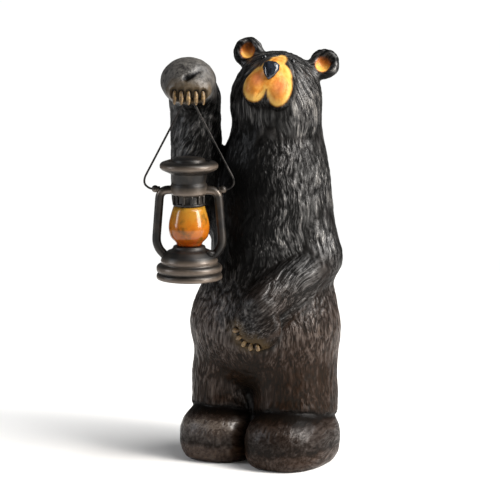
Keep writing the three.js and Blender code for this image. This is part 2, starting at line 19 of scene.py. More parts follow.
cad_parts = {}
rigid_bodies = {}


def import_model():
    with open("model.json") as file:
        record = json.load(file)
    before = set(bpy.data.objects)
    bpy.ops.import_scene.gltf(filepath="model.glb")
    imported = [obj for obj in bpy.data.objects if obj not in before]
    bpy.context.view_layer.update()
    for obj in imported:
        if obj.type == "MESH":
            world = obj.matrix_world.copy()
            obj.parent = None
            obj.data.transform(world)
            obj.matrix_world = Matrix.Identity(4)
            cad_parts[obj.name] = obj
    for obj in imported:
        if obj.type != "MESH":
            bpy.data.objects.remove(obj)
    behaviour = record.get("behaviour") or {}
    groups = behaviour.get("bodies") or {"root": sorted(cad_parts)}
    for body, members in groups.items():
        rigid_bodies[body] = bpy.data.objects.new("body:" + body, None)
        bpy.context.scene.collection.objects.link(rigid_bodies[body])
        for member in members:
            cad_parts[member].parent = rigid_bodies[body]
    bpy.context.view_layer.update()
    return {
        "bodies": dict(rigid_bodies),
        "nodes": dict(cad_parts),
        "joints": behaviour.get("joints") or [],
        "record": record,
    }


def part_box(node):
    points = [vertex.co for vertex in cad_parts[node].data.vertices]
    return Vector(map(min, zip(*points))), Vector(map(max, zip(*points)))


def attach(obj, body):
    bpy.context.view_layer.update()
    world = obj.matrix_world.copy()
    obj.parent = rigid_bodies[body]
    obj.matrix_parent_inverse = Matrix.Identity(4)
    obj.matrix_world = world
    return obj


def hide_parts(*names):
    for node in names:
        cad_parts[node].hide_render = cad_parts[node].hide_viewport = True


MM = 0.001
# The sockets of a colour mix: its share, the colour below and the colour above
SHARE, BELOW, ABOVE = 0, 6, 7

log = logging.getLogger("bear_figurine")

Place = tuple[float, float, float]
Profile = list[tuple[float, float]] | np.ndarray
Shape = tuple[np.ndarray, list[list[int]]]
Stops = tuple[tuple[float, str], ...]
Source = bpy.types.Node | bpy.types.NodeSocket


def linear(colour: str) -> tuple[float, float, float, float]:
    """Turns an sRGB hex colour into linear light.

    Args:
        colour: The colour as #rrggbb.

    Returns:
        Red, green, blue and a full alpha.
    """
    shares = [int(colour[at : at + 2], 16) / 255 for at in (1, 3, 5)]
    red, green, blue = (c / 12.92 if c <= 0.04045 else ((c + 0.055) / 1.055) ** 2.4 for c in shares)
    return red, green, blue, 1.0


def set_up(
    tree: bpy.types.NodeTree,
    node: bpy.types.Node,
    settings: dict[str | int, object],
    links: dict[str | int, Source],
) -> None:
    """Sets a node's values and feeds its inputs.

    Args:
        tree: The node tree.
        node: The node.
        settings: Values by property name, or by socket name or number. "stops" gives a ramp its colours.
        links: What feeds each input, by name or number. A node stands for the first of its open outputs.
    """
    for name, value in settings.items():
        if name == "stops":
            ramp = node.color_ramp
            while len(ramp.elements) < len(value):
                ramp.elements.new(1.0)
            for element, (place, colour) in zip(ramp.elements, value):
                element.position = place
                element.color = linear(colour)
        elif isinstance(name, int) or name in node.inputs:
            node.inputs[name].default_value = value
        else:
            setattr(node, name, value)
    for name, source in links.items():
        if isinstance(source, bpy.types.Node):
            source = next(socket for socket in source.outputs if socket.enabled)
        tree.links.new(source, node.inputs[name])


def add_node(
    tree: bpy.types.NodeTree,
    kind: str,
    settings: dict[str | int, object] | None = None,
    links: dict[str | int, Source] | None = None,
) -> bpy.types.Node:
    """Adds a node to a tree.

    Args:
        tree: The node tree.
        kind: The node's type.
        settings: Its values, as set_up takes them.
        links: What feeds its inputs, as set_up takes it.

    Returns:
        The node.
    """
    node = tree.nodes.new(kind)
    set_up(tree, node, settings or {}, links or {})
    return node


def ease(low: float, high: float, values: np.ndarray) -> np.ndarray:
    """Rises smoothly from 0 at low to 1 at high, or falls where low is above high.

    Args:
        low: Where the result is 0.
        high: Where the result is 1.
        values: The values to map.

    Returns:
        The eased values.
    """
    share = np.clip((values - low) / (high - low), 0.0, 1.0)
    return share * share * (3 - 2 * share)


class Seed(IntEnum):
    """The number that each irregular edge is drawn from. The strokes count theirs from their region."""

    MUZZLE_EDGE = 31
    MUZZLE_RIM = 33
    WARMTH = 57
    NECK = 61
    LOWER_BODY = 63
    SOLE = 65
    CUFF = 71
    PAW = 77
    CLAW_WASH = 91


class Lattice:
    """Smooth random values over space, the same on each run."""

    def __init__(self, seed: int) -> None:
        """Draws the slopes at the lattice's corners.

        Args:
            seed: The number that the values are drawn from.
        """
        random = np.random.default_rng(seed)
        self.order = random.permutation(256)
        slopes = random.normal(size=(256, 3))
        self.slopes = slopes / np.linalg.norm(slopes, axis=1, keepdims=True)

    def at(self, points: np.ndarray) -> np.ndarray:
        """Gives a value from about -1 to 1 for each point.

        Args:
            points: One row for each point, in steps of the lattice.

        Returns:
            One value for each point.
        """
        cell = np.floor(points).astype(np.int64)
        inside = points - cell
        blend = inside**3 * (inside * (inside * 6 - 15) + 10)
        total = np.zeros(len(points))
        for corner in product((0, 1), repeat=3):
            step = np.array(corner)
            index = (cell + step) & 255
            key = self.order[index[:, 0]]
            key = self.order[(key + index[:, 1]) & 255]
            key = self.order[(key + index[:, 2]) & 255]
            weight = np.prod(np.where(step, blend, 1 - blend), axis=1)
            total += weight * np.einsum("ij,ij->i", self.slopes[key], inside - step)
        return 1.7 * total


# Finishes


@dataclass(frozen=True)
class Finish:
    """A finish of one real material: its name, and how its surface is dressed."""

    name: str

    def material(self) -> bpy.types.Material:
        """Makes the finish as a material."""
        made = bpy.data.materials.new(self.name)
        made.use_nodes = True
        tree = made.node_tree
        tree.nodes.clear()
        shader = add_node(tree, "ShaderNodeBsdfPrincipled")
        add_node(tree, "ShaderNodeOutputMaterial", links={"Surface": shader})
        self.dress(tree, shader)
        return made

    def dress(self, tree: bpy.types.NodeTree, shader: bpy.types.Node) -> None:
        """Sets the shader and adds the nodes that feed it.

        Args:
            tree: The material's node tree.
            shader: Its Principled shader.
        """
        raise NotImplementedError


@dataclass(frozen=True)
class CarvedResin(Finish):
    """Cast polyester resin, painted black, dry-brushed grey-brown and sealed with satin lacquer.

    The hollows between the carved locks stay black, the tips catch a grey-brown, and the lacquer gives long
    cool highlights along the locks. The muzzle and the ears' hollows are painted amber over the black.
    Painted shade darkens the creases, the chest, the flank and what faces down, and a painted highlight
    lightens the cheek.
    """

    coat: Stops = ((0.2, "#030303"), (0.55, "#0d0c0b"), (0.82, "#22201f"), (1.0, "#56534f"))
    warm_coat: Stops = ((0.15, "#100a05"), (0.55, "#26170c"), (0.86, "#382514"), (1.0, "#493420"))
    amber: Stops = ((0.32, "#a5641f"), (0.5, "#b8772c"), (0.66, "#c69046"))
    ear: Stops = ((0.05, "#4a2509"), (0.45, "#a05a1c"), (0.95, "#dba650"))
    # The colour of the painted shade in the body's creases
    crease: str = "#050302"
    wash: str = "#4d3f2b"
    blush: str = "#c46f4a"
    rim: str = "#c49c50"
    gloss: float = 0.4
    # A dry brush leaves marks of about 0.3 mm. They are drawn coarser, so that they show
    strand: float = 1.1
    strand_length: float = 6.5
    patch: float = 24.0
    mottle: float = 6.0
    bump_depth: float = 0.7

    def dress(self, tree: bpy.types.NodeTree, shader: bpy.types.Node) -> None:
        """Paints the coat from the relief that the mesh carries, glossier at its tips than in its hollows.

        Args:
            tree: The material's node tree.
            shader: Its Principled shader.
        """
        held = {
            name: add_node(tree, "ShaderNodeAttribute", {"attribute_name": name}).outputs["Fac"]
            for name in ("relief", "warmth", "muzzle", "blush", "pale", "wash", "ear", "bare", "crease")
        }
        place = add_node(tree, "ShaderNodeTexCoord").outputs["Object"]
        height = self.height(tree, held, place)
        glossed = {"To Min": self.gloss + 0.16, "To Max": self.gloss - 0.04}
        rough = add_node(tree, "ShaderNodeMapRange", glossed, {"Value": height})
        relief = {"Strength": 0.9, "Distance": self.bump_depth * MM}
        bump = add_node(tree, "ShaderNodeBump", relief, {"Height": height})
        tips = {"From Min": 0.35, "To Min": 0.07, "To Max": 0.8}
        sheen = add_node(tree, "ShaderNodeMapRange", tips, {"Value": height})
        dull = {"To Min": 1.0, "To Max": 0.35}
        dulled = add_node(tree, "ShaderNodeMapRange", dull, {"Value": held["bare"]})
        sheen = add_node(tree, "ShaderNodeMath", {"operation": "MULTIPLY"}, {0: sheen, 1: dulled})
        set_up(
            tree,
            shader,
            {"IOR": 1.52, "Coat Weight": 0.08, "Coat Roughness": 0.22},
            {
                "Base Color": self.paint(tree, held, place, height),
                "Roughness": rough,
                "Specular IOR Level": sheen,
                "Normal": bump,
            },
        )

    def height(
        self, tree: bpy.types.NodeTree, held: dict[str, Source], place: Source
    ) -> bpy.types.Node:
        """Adds the brush's strands to the carved relief, patchily, and not where the coat is bare.

        Args:
            tree: The material's node tree.
            held: The values that the mesh carries, by name.
            place: Where a point is on the object.

        Returns:
            The height, from about 0 in the hollows to 1 on the tips.
        """
        flow = add_node(tree, "ShaderNodeAttribute", {"attribute_name": "flow"}).outputs["Vector"]
        scale = (1 / self.strand, 1 / self.strand, 1 / self.strand_length)
        along = add_node(tree, "ShaderNodeMapping", {"Scale": scale}, {"Vector": flow})
        fine = {"Scale": 1.0, "Detail": 2.0, "Roughness": 0.55}
        strands = add_node(tree, "ShaderNodeTexNoise", fine, {"Vector": along})
        stretch = {"operation": "MULTIPLY_ADD", 1: 1.8, 2: -0.95}
        strands = add_node(tree, "ShaderNodeMath", stretch, {0: strands})
        patches = {"Scale": 1 / (self.patch * MM), "Detail": 1.5}
        patchy = add_node(tree, "ShaderNodeTexNoise", patches, {"Vector": place})
        strengths = {"From Min": 0.32, "From Max": 0.68, "To Min": 0.45, "To Max": 1.25}
        share = add_node(tree, "ShaderNodeMapRange", strengths, {"Value": patchy})
        rest = {"operation": "SUBTRACT", "use_clamp": True, 0: 1.0}
        furred = add_node(tree, "ShaderNodeMath", rest, {1: held["bare"]})
        share = add_node(tree, "ShaderNodeMath", {"operation": "MULTIPLY"}, {0: share, 1: furred})
        strands = add_node(tree, "ShaderNodeMath", {"operation": "MULTIPLY"}, {0: strands, 1: share})
        return add_node(tree, "ShaderNodeMath", {"operation": "ADD"}, {0: strands, 1: held["relief"]})

    def paint(
        self, tree: bpy.types.NodeTree, held: dict[str, Source], place: Source, height: Source
    ) -> bpy.types.Node:
        """Lays the colours over each other, from the brushed coat to the hollows of the ears.

        Args:
            tree: The material's node tree.
            held: The values that the mesh carries, by name.
            place: Where a point is on the object.
            height: The height that the coat's colours follow.

        Returns:
            The colour.
        """
        mixed = {"data_type": "RGBA"}
        cool = add_node(tree, "ShaderNodeValToRGB", {"stops": self.coat}, {"Fac": height})
        warm = add_node(tree, "ShaderNodeValToRGB", {"stops": self.warm_coat}, {"Fac": height})
        both = {SHARE: held["warmth"], BELOW: cool, ABOVE: warm}
        coat = add_node(tree, "ShaderNodeMix", mixed, both)
        # Painted shade in the creases, then the tan wash round the claws
        for name, colour in (("crease", self.crease), ("wash", self.wash)):
            over = mixed | {ABOVE: linear(colour)}
            coat = add_node(tree, "ShaderNodeMix", over, {SHARE: held[name], BELOW: coat})
        marks = {"Scale": 1 / (self.mottle * MM), "Detail": 3.0, "Roughness": 0.6}
        mottle = add_node(tree, "ShaderNodeTexNoise", marks, {"Vector": place})
        muzzle = add_node(tree, "ShaderNodeValToRGB", {"stops": self.amber}, {"Fac": mottle})
        for name, colour in (("blush", self.blush), ("pale", self.rim)):
            over = mixed | {ABOVE: linear(colour)}
            muzzle = add_node(tree, "ShaderNodeMix", over, {SHARE: held[name], BELOW: muzzle})
        # The ears' hollows take the mottle, lighter towards their bottom
        stretch = {"operation": "MULTIPLY_ADD", 1: 0.75, 2: -0.32}
        rubbed = add_node(tree, "ShaderNodeMath", stretch, {0: mottle})
        rubbed = add_node(tree, "ShaderNodeMath", {"operation": "ADD"}, {0: rubbed, 1: held["blush"]})
        hollow = add_node(tree, "ShaderNodeValToRGB", {"stops": self.ear}, {"Fac": rubbed})
        for name, above in (("muzzle", muzzle), ("ear", hollow)):
            coat = add_node(tree, "ShaderNodeMix", mixed, {SHARE: held[name], BELOW: coat, ABOVE: above})
        return coat


@dataclass(frozen=True)
class Mottled(Finish):
    """A finish laid by hand, whose tone and height vary together in small marks of a width in millimetres.

    Its IOR stays at the shader's 1.5, which is typical of paint, and which a metal keeps.
    """

    stops: Stops = ()
    mark: float = 2.5
    detail: float = 3.0
    unevenness: float = 0.5
    bump: float = 0.3
    bump_depth: float = 0.15
    gloss: float = 0.4
    metallic: float = 0.0

    def dress(self, tree: bpy.types.NodeTree, shader: bpy.types.Node) -> None:
        """Lays the marks in tone and in height.

        Args:
            tree: The material's node tree.
            shader: Its Principled shader.
        """
        place = add_node(tree, "ShaderNodeTexCoord").outputs["Object"]
        scale = {"Scale": 1 / (self.mark * MM), "Detail": self.detail, "Roughness": self.unevenness}
        marks = add_node(tree, "ShaderNodeTexNoise", scale, {"Vector": place})
        tone = add_node(tree, "ShaderNodeValToRGB", {"stops": self.stops}, {"Fac": marks})
        raised = {"Strength": self.bump, "Distance": self.bump_depth * MM}
        bump = add_node(tree, "ShaderNodeBump", raised, {"Height": marks})
        constants = {"Roughness": self.gloss, "Metallic": self.metallic}
        set_up(tree, shader, constants, {"Base Color": tone, "Normal": bump})


@dataclass(frozen=True)
class GlossEnamel(Mottled):
    """Brushed-on gloss enamel over resin. It pools smooth, so it mirrors the lights in small sharp glints."""

    stops: Stops = ((0.35, "#0b0d12"), (0.75, "#252b36"))
    gloss: float = 0.12


@dataclass(frozen=True)
class OchrePaint(Mottled):
    """Matt ochre paint wiped back by hand. Brown stays in its hollows, and its high places look like horn."""

    stops: Stops = ((0.3, "#24180d"), (0.48, "#5f492b"), (0.68, "#8c7143"))
    mark: float = 2.2
    detail: float = 4.0
    unevenness: float = 0.65
    bump: float = 0.4
    bump_depth: float = 0.2
    gloss: float = 0.45


@dataclass(frozen=True)
class BlackenedWire(Mottled):
    """Drawn iron wire, blackened in oil. It keeps a dull metal shine, mottled where the oil burnt on."""

    stops: Stops = ((0.35, "#0c0b0b"), (0.7, "#3b3836"))
    mark: float = 3.0
    detail: float = 4.0
    unevenness: float = 0.7
    bump: float = 0.25
    bump_depth: float = 0.1
    gloss: float = 0.42
    metallic: float = 0.8


@dataclass(frozen=True)
class BronzedCasting(Finish):
    """A small cast part, sprayed black-brown and rubbed with bronze wax.

    The spray is satin and slightly pebbled. The wax leaves a soft warm shine on the edges of the rings.
    """

    stops: Stops = ((0.18, "#0e0c0b"), (0.5, "#423a32"), (1.0, "#70645a"))
    # Sprayed pebbles are about 0.3 mm wide. They are drawn coarser, so that they show
    pebble: float = 1.6
    pebble_depth: float = 0.2
    cloud: float = 9.0

    def dress(self, tree: bpy.types.NodeTree, shader: bpy.types.Node) -> None:
        """Waxes the edges and pebbles the spray.

        Args:
            tree: The material's node tree.
            shader: Its Principled shader.
        """
        place = add_node(tree, "ShaderNodeTexCoord").outputs["Object"]
        pebbles = {"Scale": 1 / (self.pebble * MM), "Detail": 3.0, "Roughness": 0.6}
        pebbled = add_node(tree, "ShaderNodeTexNoise", pebbles, {"Vector": place})
        clouds = {"Scale": 1 / (self.cloud * MM), "Detail": 2.0}
        cloudy = add_node(tree, "ShaderNodeTexNoise", clouds, {"Vector": place})
        edge = add_node(tree, "ShaderNodeAttribute", {"attribute_name": "edge"}).outputs["Fac"]
        share = {"operation": "MULTIPLY_ADD", 1: 0.45}
        worn = add_node(tree, "ShaderNodeMath", share, {0: cloudy, 2: edge})
        tone = add_node(tree, "ShaderNodeValToRGB", {"stops": self.stops}, {"Fac": worn})
        rubbed = {"From Min": 0.2, "From Max": 0.8, "To Min": 0.46, "To Max": 0.3}
        rough = add_node(tree, "ShaderNodeMapRange", rubbed, {"Value": worn})
        raised = {"Strength": 0.35, "Distance": self.pebble_depth * MM}
        bump = add_node(tree, "ShaderNodeBump", raised, {"Height": pebbled})
        links = {"Base Color": tone, "Roughness": rough, "Normal": bump}
        set_up(tree, shader, {"Metallic": 0.35}, links)


@dataclass(frozen=True)
class AmberResin(Finish):
    """Clear resin cast over an amber glaze, polished.

    It is golden at the top, redder towards its foot, and it mirrors the lights sharply.
    """

    stops: Stops = ((0.0, "#7c3007"), (0.5, "#9c5810"), (1.0, "#9a7026"))
    stain: str = "#4f3a12"
    cloud: float = 5.0
    spot: float = 7.0

    def dress(self, tree: bpy.types.NodeTree, shader: bpy.types.Node) -> None:
        """Grades the amber from foot to top, clouds it and stains it in spots.

        Args:
            tree: The material's node tree.
            shader: Its Principled shader.
        """
        rise = add_node(tree, "ShaderNodeAttribute", {"attribute_name": "rise"}).outputs["Fac"]
        place = add_node(tree, "ShaderNodeTexCoord").outputs["Object"]
        clouds = {"Scale": 1 / (self.cloud * MM), "Detail": 2.5, "Roughness": 0.55}
        cloudy = add_node(tree, "ShaderNodeTexNoise", clouds, {"Vector": place})
        graded = add_node(tree, "ShaderNodeMath", {"operation": "MULTIPLY_ADD", 1: 0.6, 2: -0.3}, {0: cloudy})
        graded = add_node(tree, "ShaderNodeMath", {"operation": "ADD"}, {0: graded, 1: rise})
        tone = add_node(tree, "ShaderNodeValToRGB", {"stops": self.stops}, {"Fac": graded})
        spots = {"Scale": 1 / (self.spot * MM), "Detail": 4.0, "Roughness": 0.65}
        spotted = add_node(tree, "ShaderNodeTexNoise", spots, {"Vector": place})
        edges = {"From Min": 0.5, "From Max": 0.66, "To Max": 0.75}
        share = add_node(tree, "ShaderNodeMapRange", edges, {"Value": spotted})
        over = {"data_type": "RGBA", ABOVE: linear(self.stain)}
        stained = add_node(tree, "ShaderNodeMix", over, {SHARE: share, BELOW: tone})
        polish = {"Roughness": 0.15, "IOR": 1.54, "Specular IOR Level": 0.35}
        set_up(tree, shader, polish, {"Base Color": stained})


@dataclass(frozen=True)
class StudioPaper(Finish):
    """Matt white background paper, which takes soft shadows and shows no grain from where the camera is."""

    tone: str = "#f6f5f3"

    def dress(self, tree: bpy.types.NodeTree, shader: bpy.types.Node) -> None:
        """Leaves the paper plain and nearly without shine.

        Args:
            tree: The material's node tree.
            shader: Its Principled shader.
        """
        plain = {"Base Color": linear(self.tone), "Roughness": 0.95, "Specular IOR Level": 0.1}
        set_up(tree, shader, plain, {})


# Meshes


def object_of(name: str, shape: Shape, finish: Finish) -> bpy.types.Object:
    """Makes a smoothly shaded object from points in millimetres.

    Args:
        name: The piece's name.
        shape: Its points and faces.
        finish: What it is dressed in.

    Returns:
        The object, linked to the scene.
    """
    points, faces = shape
    mesh = bpy.data.meshes.new(name)
    mesh.from_pydata([tuple(point) for point in points * MM], [], faces)
    return linked(name, mesh, finish)


def linked(name: str, mesh: bpy.types.Mesh, finish: Finish) -> bpy.types.Object:
    """Puts a mesh into the scene as a smoothly shaded object.

    Args:
        name: The piece's name.
        mesh: The mesh.
        finish: What it is dressed in.

    Returns:
        The object.
    """
    mesh.materials.clear()
    mesh.materials.append(finish.material())
    mesh.polygons.foreach_set("use_smooth", [True] * len(mesh.polygons))
    mesh.update()
    made = bpy.data.objects.new(name, mesh)
    bpy.context.scene.collection.objects.link(made)
    return made


def carry(piece: bpy.types.Object, name: str, values: np.ndarray) -> None:
    """Gives each point of a piece a value, or a vector, that its material reads.

    Args:
        piece: The piece.
        name: The attribute's name.
        values: One value or one row of three for each point.
    """
    kind, key = ("FLOAT", "value") if values.ndim == 1 else ("FLOAT_VECTOR", "vector")
    attribute = piece.data.attributes.new(name, kind, "POINT")
    attribute.data.foreach_set(key, np.ascontiguousarray(values, np.float32).ravel())


def moved(points: np.ndarray, matrix: Matrix) -> np.ndarray:
    """Turns and moves points.

    Args:
        points: One row for each point.
        matrix: The turn and the move.

    Returns:
        The points in their new place.
    """
    rows = np.array(matrix)
    return points @ rows[:3, :3].T + rows[:3, 3]


def turned(profile: Profile, sides: int) -> Shape:
    """Turns a profile about +Z. A point on the axis closes that end.

    Args:
        profile: Radius and height of each point, bottom first.
        sides: How many sides a turn has.

    Returns:
        The points and the faces.
    """
    points: list[Place] = []
    rings: list[list[int]] = []
    for radius, height in profile:
        if radius < 1e-6:
            rings.append([len(points)] * sides)
            points.append((0.0, 0.0, height))
            continue
        rings.append(list(range(len(points), len(points) + sides)))
        for side in range(sides):
            angle = 2 * math.pi * side / sides
            points.append((radius * math.cos(angle), radius * math.sin(angle), height))
    faces = []
    for low, high in zip(rings, rings[1:]):
        for side in range(sides):
            after = (side + 1) % sides
            corners = [low[side], low[after], high[after], high[side]]
            face = [corner for at, corner in enumerate(corners) if corner not in corners[:at]]
            if len(face) > 2:
                faces.append(face)
    return np.array(points), faces


def egg(radius: float, half_height: float, steps: int, taper: float = 0.0) -> Profile:
    """Gives the profile of a ball, or of an egg about the origin.

    Args:
        radius: Its radius at the middle.
        half_height: Half its height.
        steps: How many pieces the profile has.
        taper: How much slimmer it is towards its foot than towards its top.

    Returns:
        Radius and height of each point, with both ends on the axis.
    """
    profile = [(0.0, -half_height)]
    for angle in np.linspace(0, math.pi, steps + 1)[1:-1]:
        swell = radius * math.sin(angle) / (1 + taper * math.cos(angle))
        profile.append((swell, -half_height * math.cos(angle)))
    return [*profile, (0.0, half_height)]


def rounded(corners: Profile | list[Place], radius: float, steps: int, most: float = 0.45) -> np.ndarray:
    """Rounds the corners of a profile or a path.

    Args:
        corners: The corners.
        radius: How far from a corner the rounding starts.
        steps: How many pieces each rounding has.
        most: The greatest share of a side that one rounding may take.

    Returns:
        One row for each point.
    """
    places = np.array(corners, float)
    line = [places[0]]
    for before, here, after in zip(places, places[1:], places[2:]):
        arms = [before - here, after - here]
        lengths = [float(np.linalg.norm(arm)) for arm in arms]
        reach = min(radius, lengths[0] * most, lengths[1] * most)
        start, end = (here + arm / length * reach for arm, length in zip(arms, lengths))
        for share in np.linspace(0, 1, steps + 1):
            line.append((1 - share) ** 2 * start + 2 * share * (1 - share) * here + share**2 * end)
    return np.array([*line, places[-1]])


def smooth_path(corners: list[Place], radius: float, spacing: float) -> np.ndarray:
    """Runs through corners in straight lines with rounded bends, in even steps.

    Args:
        corners: The path's corners.
        radius: How far from a corner its bend starts.
        spacing: The distance between two points.

    Returns:
        One row for each point.
    """
    line = rounded(corners, radius, 8, 0.5)
    line = line[np.r_[True, np.linalg.norm(np.diff(line, axis=0), axis=1) > 1e-6]]
    along = np.r_[0, np.cumsum(np.linalg.norm(np.diff(line, axis=0), axis=1))]
    places = np.linspace(0, along[-1], max(int(along[-1] / spacing), 2) + 1)
    return np.stack([np.interp(places, along, line[:, axis]) for axis in range(3)], axis=1)


def swept(path: np.ndarray, radius: float, sides: int) -> Shape:
    """Sweeps a round section along a path, closed at both ends.

    Args:
        path: One row for each point of the path.
        radius: The section's radius.
        sides: How many sides the section has.

    Returns:
        The points and the faces.
    """
    tangents = np.gradient(path, axis=0)
    tangents /= np.linalg.norm(tangents, axis=1, keepdims=True)
    across = np.cross(tangents[0], [0.3, 0.9, 0.2])
    points = []
    for place, tangent in zip(path, tangents):
        across = across - tangent * (across @ tangent)
        across /= np.linalg.norm(across)
        beside = np.cross(tangent, across)
        for side in range(sides):
            angle = 2 * math.pi * side / sides
            points.append(place + radius * (math.cos(angle) * across + math.sin(angle) * beside))
    faces = []
    last = (len(path) - 1) * sides
    for ring in range(0, last, sides):
        for side in range(sides):
            after = (side + 1) % sides
            faces.append([ring + side, ring + after, ring + sides + after, ring + sides + side])
    faces.append(list(range(sides))[::-1])
    faces.append([last + side for side in range(sides)])
    return np.array(points), faces


def joined(parts: list[Shape]) -> Shape:
    """Puts several sets of points and faces into one.

    Args:
        parts: The sets.

    Returns:
        The points and the faces of all of them.
    """
    faces: list[list[int]] = []
    count = 0
    for points, corners in parts:
        faces.extend([count + corner for corner in face] for face in corners)
        count += len(points)
    return np.vstack([points for points, _ in parts]), faces


def surface_of(solid: bpy.types.Object) -> BVHTree:
    """Prepares an object's surface for rays to meet."""
    corners = [vertex.co.copy() for vertex in solid.data.vertices]
    return BVHTree.FromPolygons(corners, [tuple(face.vertices) for face in solid.data.polygons])


def neighbours_mean(points: np.ndarray, ends: np.ndarray, others: np.ndarray) -> np.ndarray:
    """Averages the points that share an edge with each point.

    Args:
        points: One row for each point.
        ends: The point at one end of each edge, with each edge given both ways.
        others: The point at its other end.

    Returns:
        One row for each point.
    """
    total = np.stack([np.bincount(ends, points[others, axis], len(points)) for axis in range(3)], axis=1)
    return total / np.bincount(ends, minlength=len(points))[:, None]


# The bear


class Region(Enum):
    """Where the carver's strokes run one way."""

    TRUNK = "trunk"
    HEAD = "head"
    RAISED_FOREARM = "raised forearm"
    UPPER_ARM = "upper arm"
    RESTING_FOREARM = "resting forearm"
    FEET = "feet"


@dataclass(frozen=True)
class Oval:
    """An oval on the face, in the head's frame: its middle and its radii."""

    x: float
    z: float
    across: float
    up: float

    def away(self, level: np.ndarray) -> np.ndarray:
        """Measures how far points are from the middle, as a share of the radii.

        Args:
            level: The points in the head's frame.

        Returns:
            0 at the middle and 1 on the oval.
        """
        return np.hypot((level[:, 0] - self.x) / self.across, (level[:, 2] - self.z) / self.up)


@dataclass(frozen=True)
class Patch:
    """An egg-shaped patch of painted shade or painted highlight, fading out at its edge."""

    middle: Place
    radii: Place
    full: float
    gone: float = 1.3

    def hold(self, points: np.ndarray) -> np.ndarray:
        """Gives how far the patch holds at each point.

        Args:
            points: One row for each point.

        Returns:
            1 inside and 0 outside.
        """
        share = np.linalg.norm((points - self.middle) / self.radii, axis=1)
        return ease(self.gone, self.full, share)


@dataclass
class Pose:
    """Where the figure's members lie, in millimetres and degrees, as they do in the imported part."""

    head: Place = (7.0, 1.0, 264.9)
    yaw: float = 18.0
    pitch: float = 18.0
    roll: float = 8.0
    forearm: tuple[float, float] = (-49.2, -20.1)
    forearm_from: float = 190.6
    forearm_to: float = 262.0
    hook: Place = (-31.24, -60.31, 263.9)
    paw_from_hook: Place = (-8.1, 13.7, 13.0)
    dimple: Place = (-29.0, -63.2, 281.6)
    heading: float = 24.0
    shoulder: Place = (20.1, 3.0, 200.7)
    elbow: Place = (38.6, 0.0, 148.0)
    wrist: Place = (17.6, -46.0, 112.5)
    resting_paw: Place = (16.6, -46.7, 104.8)
    # The left foot's middle, with the right one opposite, and how far the left one is moved ahead
    feet: Place = (27.6, -12.5, 16.0)
    left_foot_ahead: float = 1.5

    def head_frame(self) -> Matrix:
        """Gives the turn and the place of the head."""
        turn = Matrix.Rotation(math.radians(self.yaw), 4, "Z")
        turn = turn @ Matrix.Rotation(math.radians(-self.pitch), 4, "X")
        turn = turn @ Matrix.Rotation(math.radians(self.roll), 4, "Y")
        return Matrix.Translation(self.head) @ turn

    def on_head(self, points: np.ndarray) -> np.ndarray:
        """Turns points into the head's own frame, which faces -Y.

        Args:
            points: One row for each point.

        Returns:
            The points in the head's frame.
        """
        return moved(points, self.head_frame().inverted())

    def raised_paw(self) -> Place:
        """Gives the middle of the raised paw's ball."""
        x, y, z = (at + away for at, away in zip(self.hook, self.paw_from_hook))
        return x, y, z


def along_limb(points: np.ndarray, start: Place, end: Place) -> tuple[np.ndarray, np.ndarray, np.ndarray]:
    """Measures points against a limb's axis.

    Args:
        points: One row for each point.
        start: Where the axis starts.
        end: Where it ends.

    Returns:
        The distance from the axis, the coordinates across and along it, and the share of its length.
    """
    base = np.array(start, float)
    axis = np.array(end, float) - base
    length = np.linalg.norm(axis)
    axis /= length
    side = np.cross(axis, [0.0, 0.0, 1.0] if abs(axis[2]) < 0.99 else [0.0, 1.0, 0.0])
    side /= np.linalg.norm(side)
    up = np.cross(side, axis)
    offset = points - base
    run = offset @ axis
    held = np.clip(run, 0, length)
    away = np.linalg.norm(offset - held[:, None] * axis, axis=1)
    frame = np.stack([offset @ side, offset @ up, run], axis=1)
    return away, frame, run / length


@dataclass
class Claw:
    """One claw, upright before its turn and set into the paw."""

    place: Vector
    turn: Matrix
    length: float
    width: float
    taper: float = 0.22
    sides: int = 14

    def shape(self) -> Shape:
        """Makes the claw where it lies."""
        points, faces = turned(egg(self.width / 2, self.length / 2, 12, self.taper), self.sides)
        return moved(points, Matrix.Translation(self.place) @ self.turn), faces

    def away(self, points: np.ndarray) -> np.ndarray:
        """Measures how far points are from the claw's middle line.

        Args:
            points: One row for each point, in millimetres.

        Returns:
            The distances in millimetres.
        """
        axis = np.array(self.turn.to_3x3() @ Vector((0, 0, 1)))
        offset = points - np.array(self.place)
        reach = (self.length - self.width) / 2
        run = np.clip(offset @ axis, -reach, reach)
        return np.linalg.norm(offset - run[:, None] * axis, axis=1)


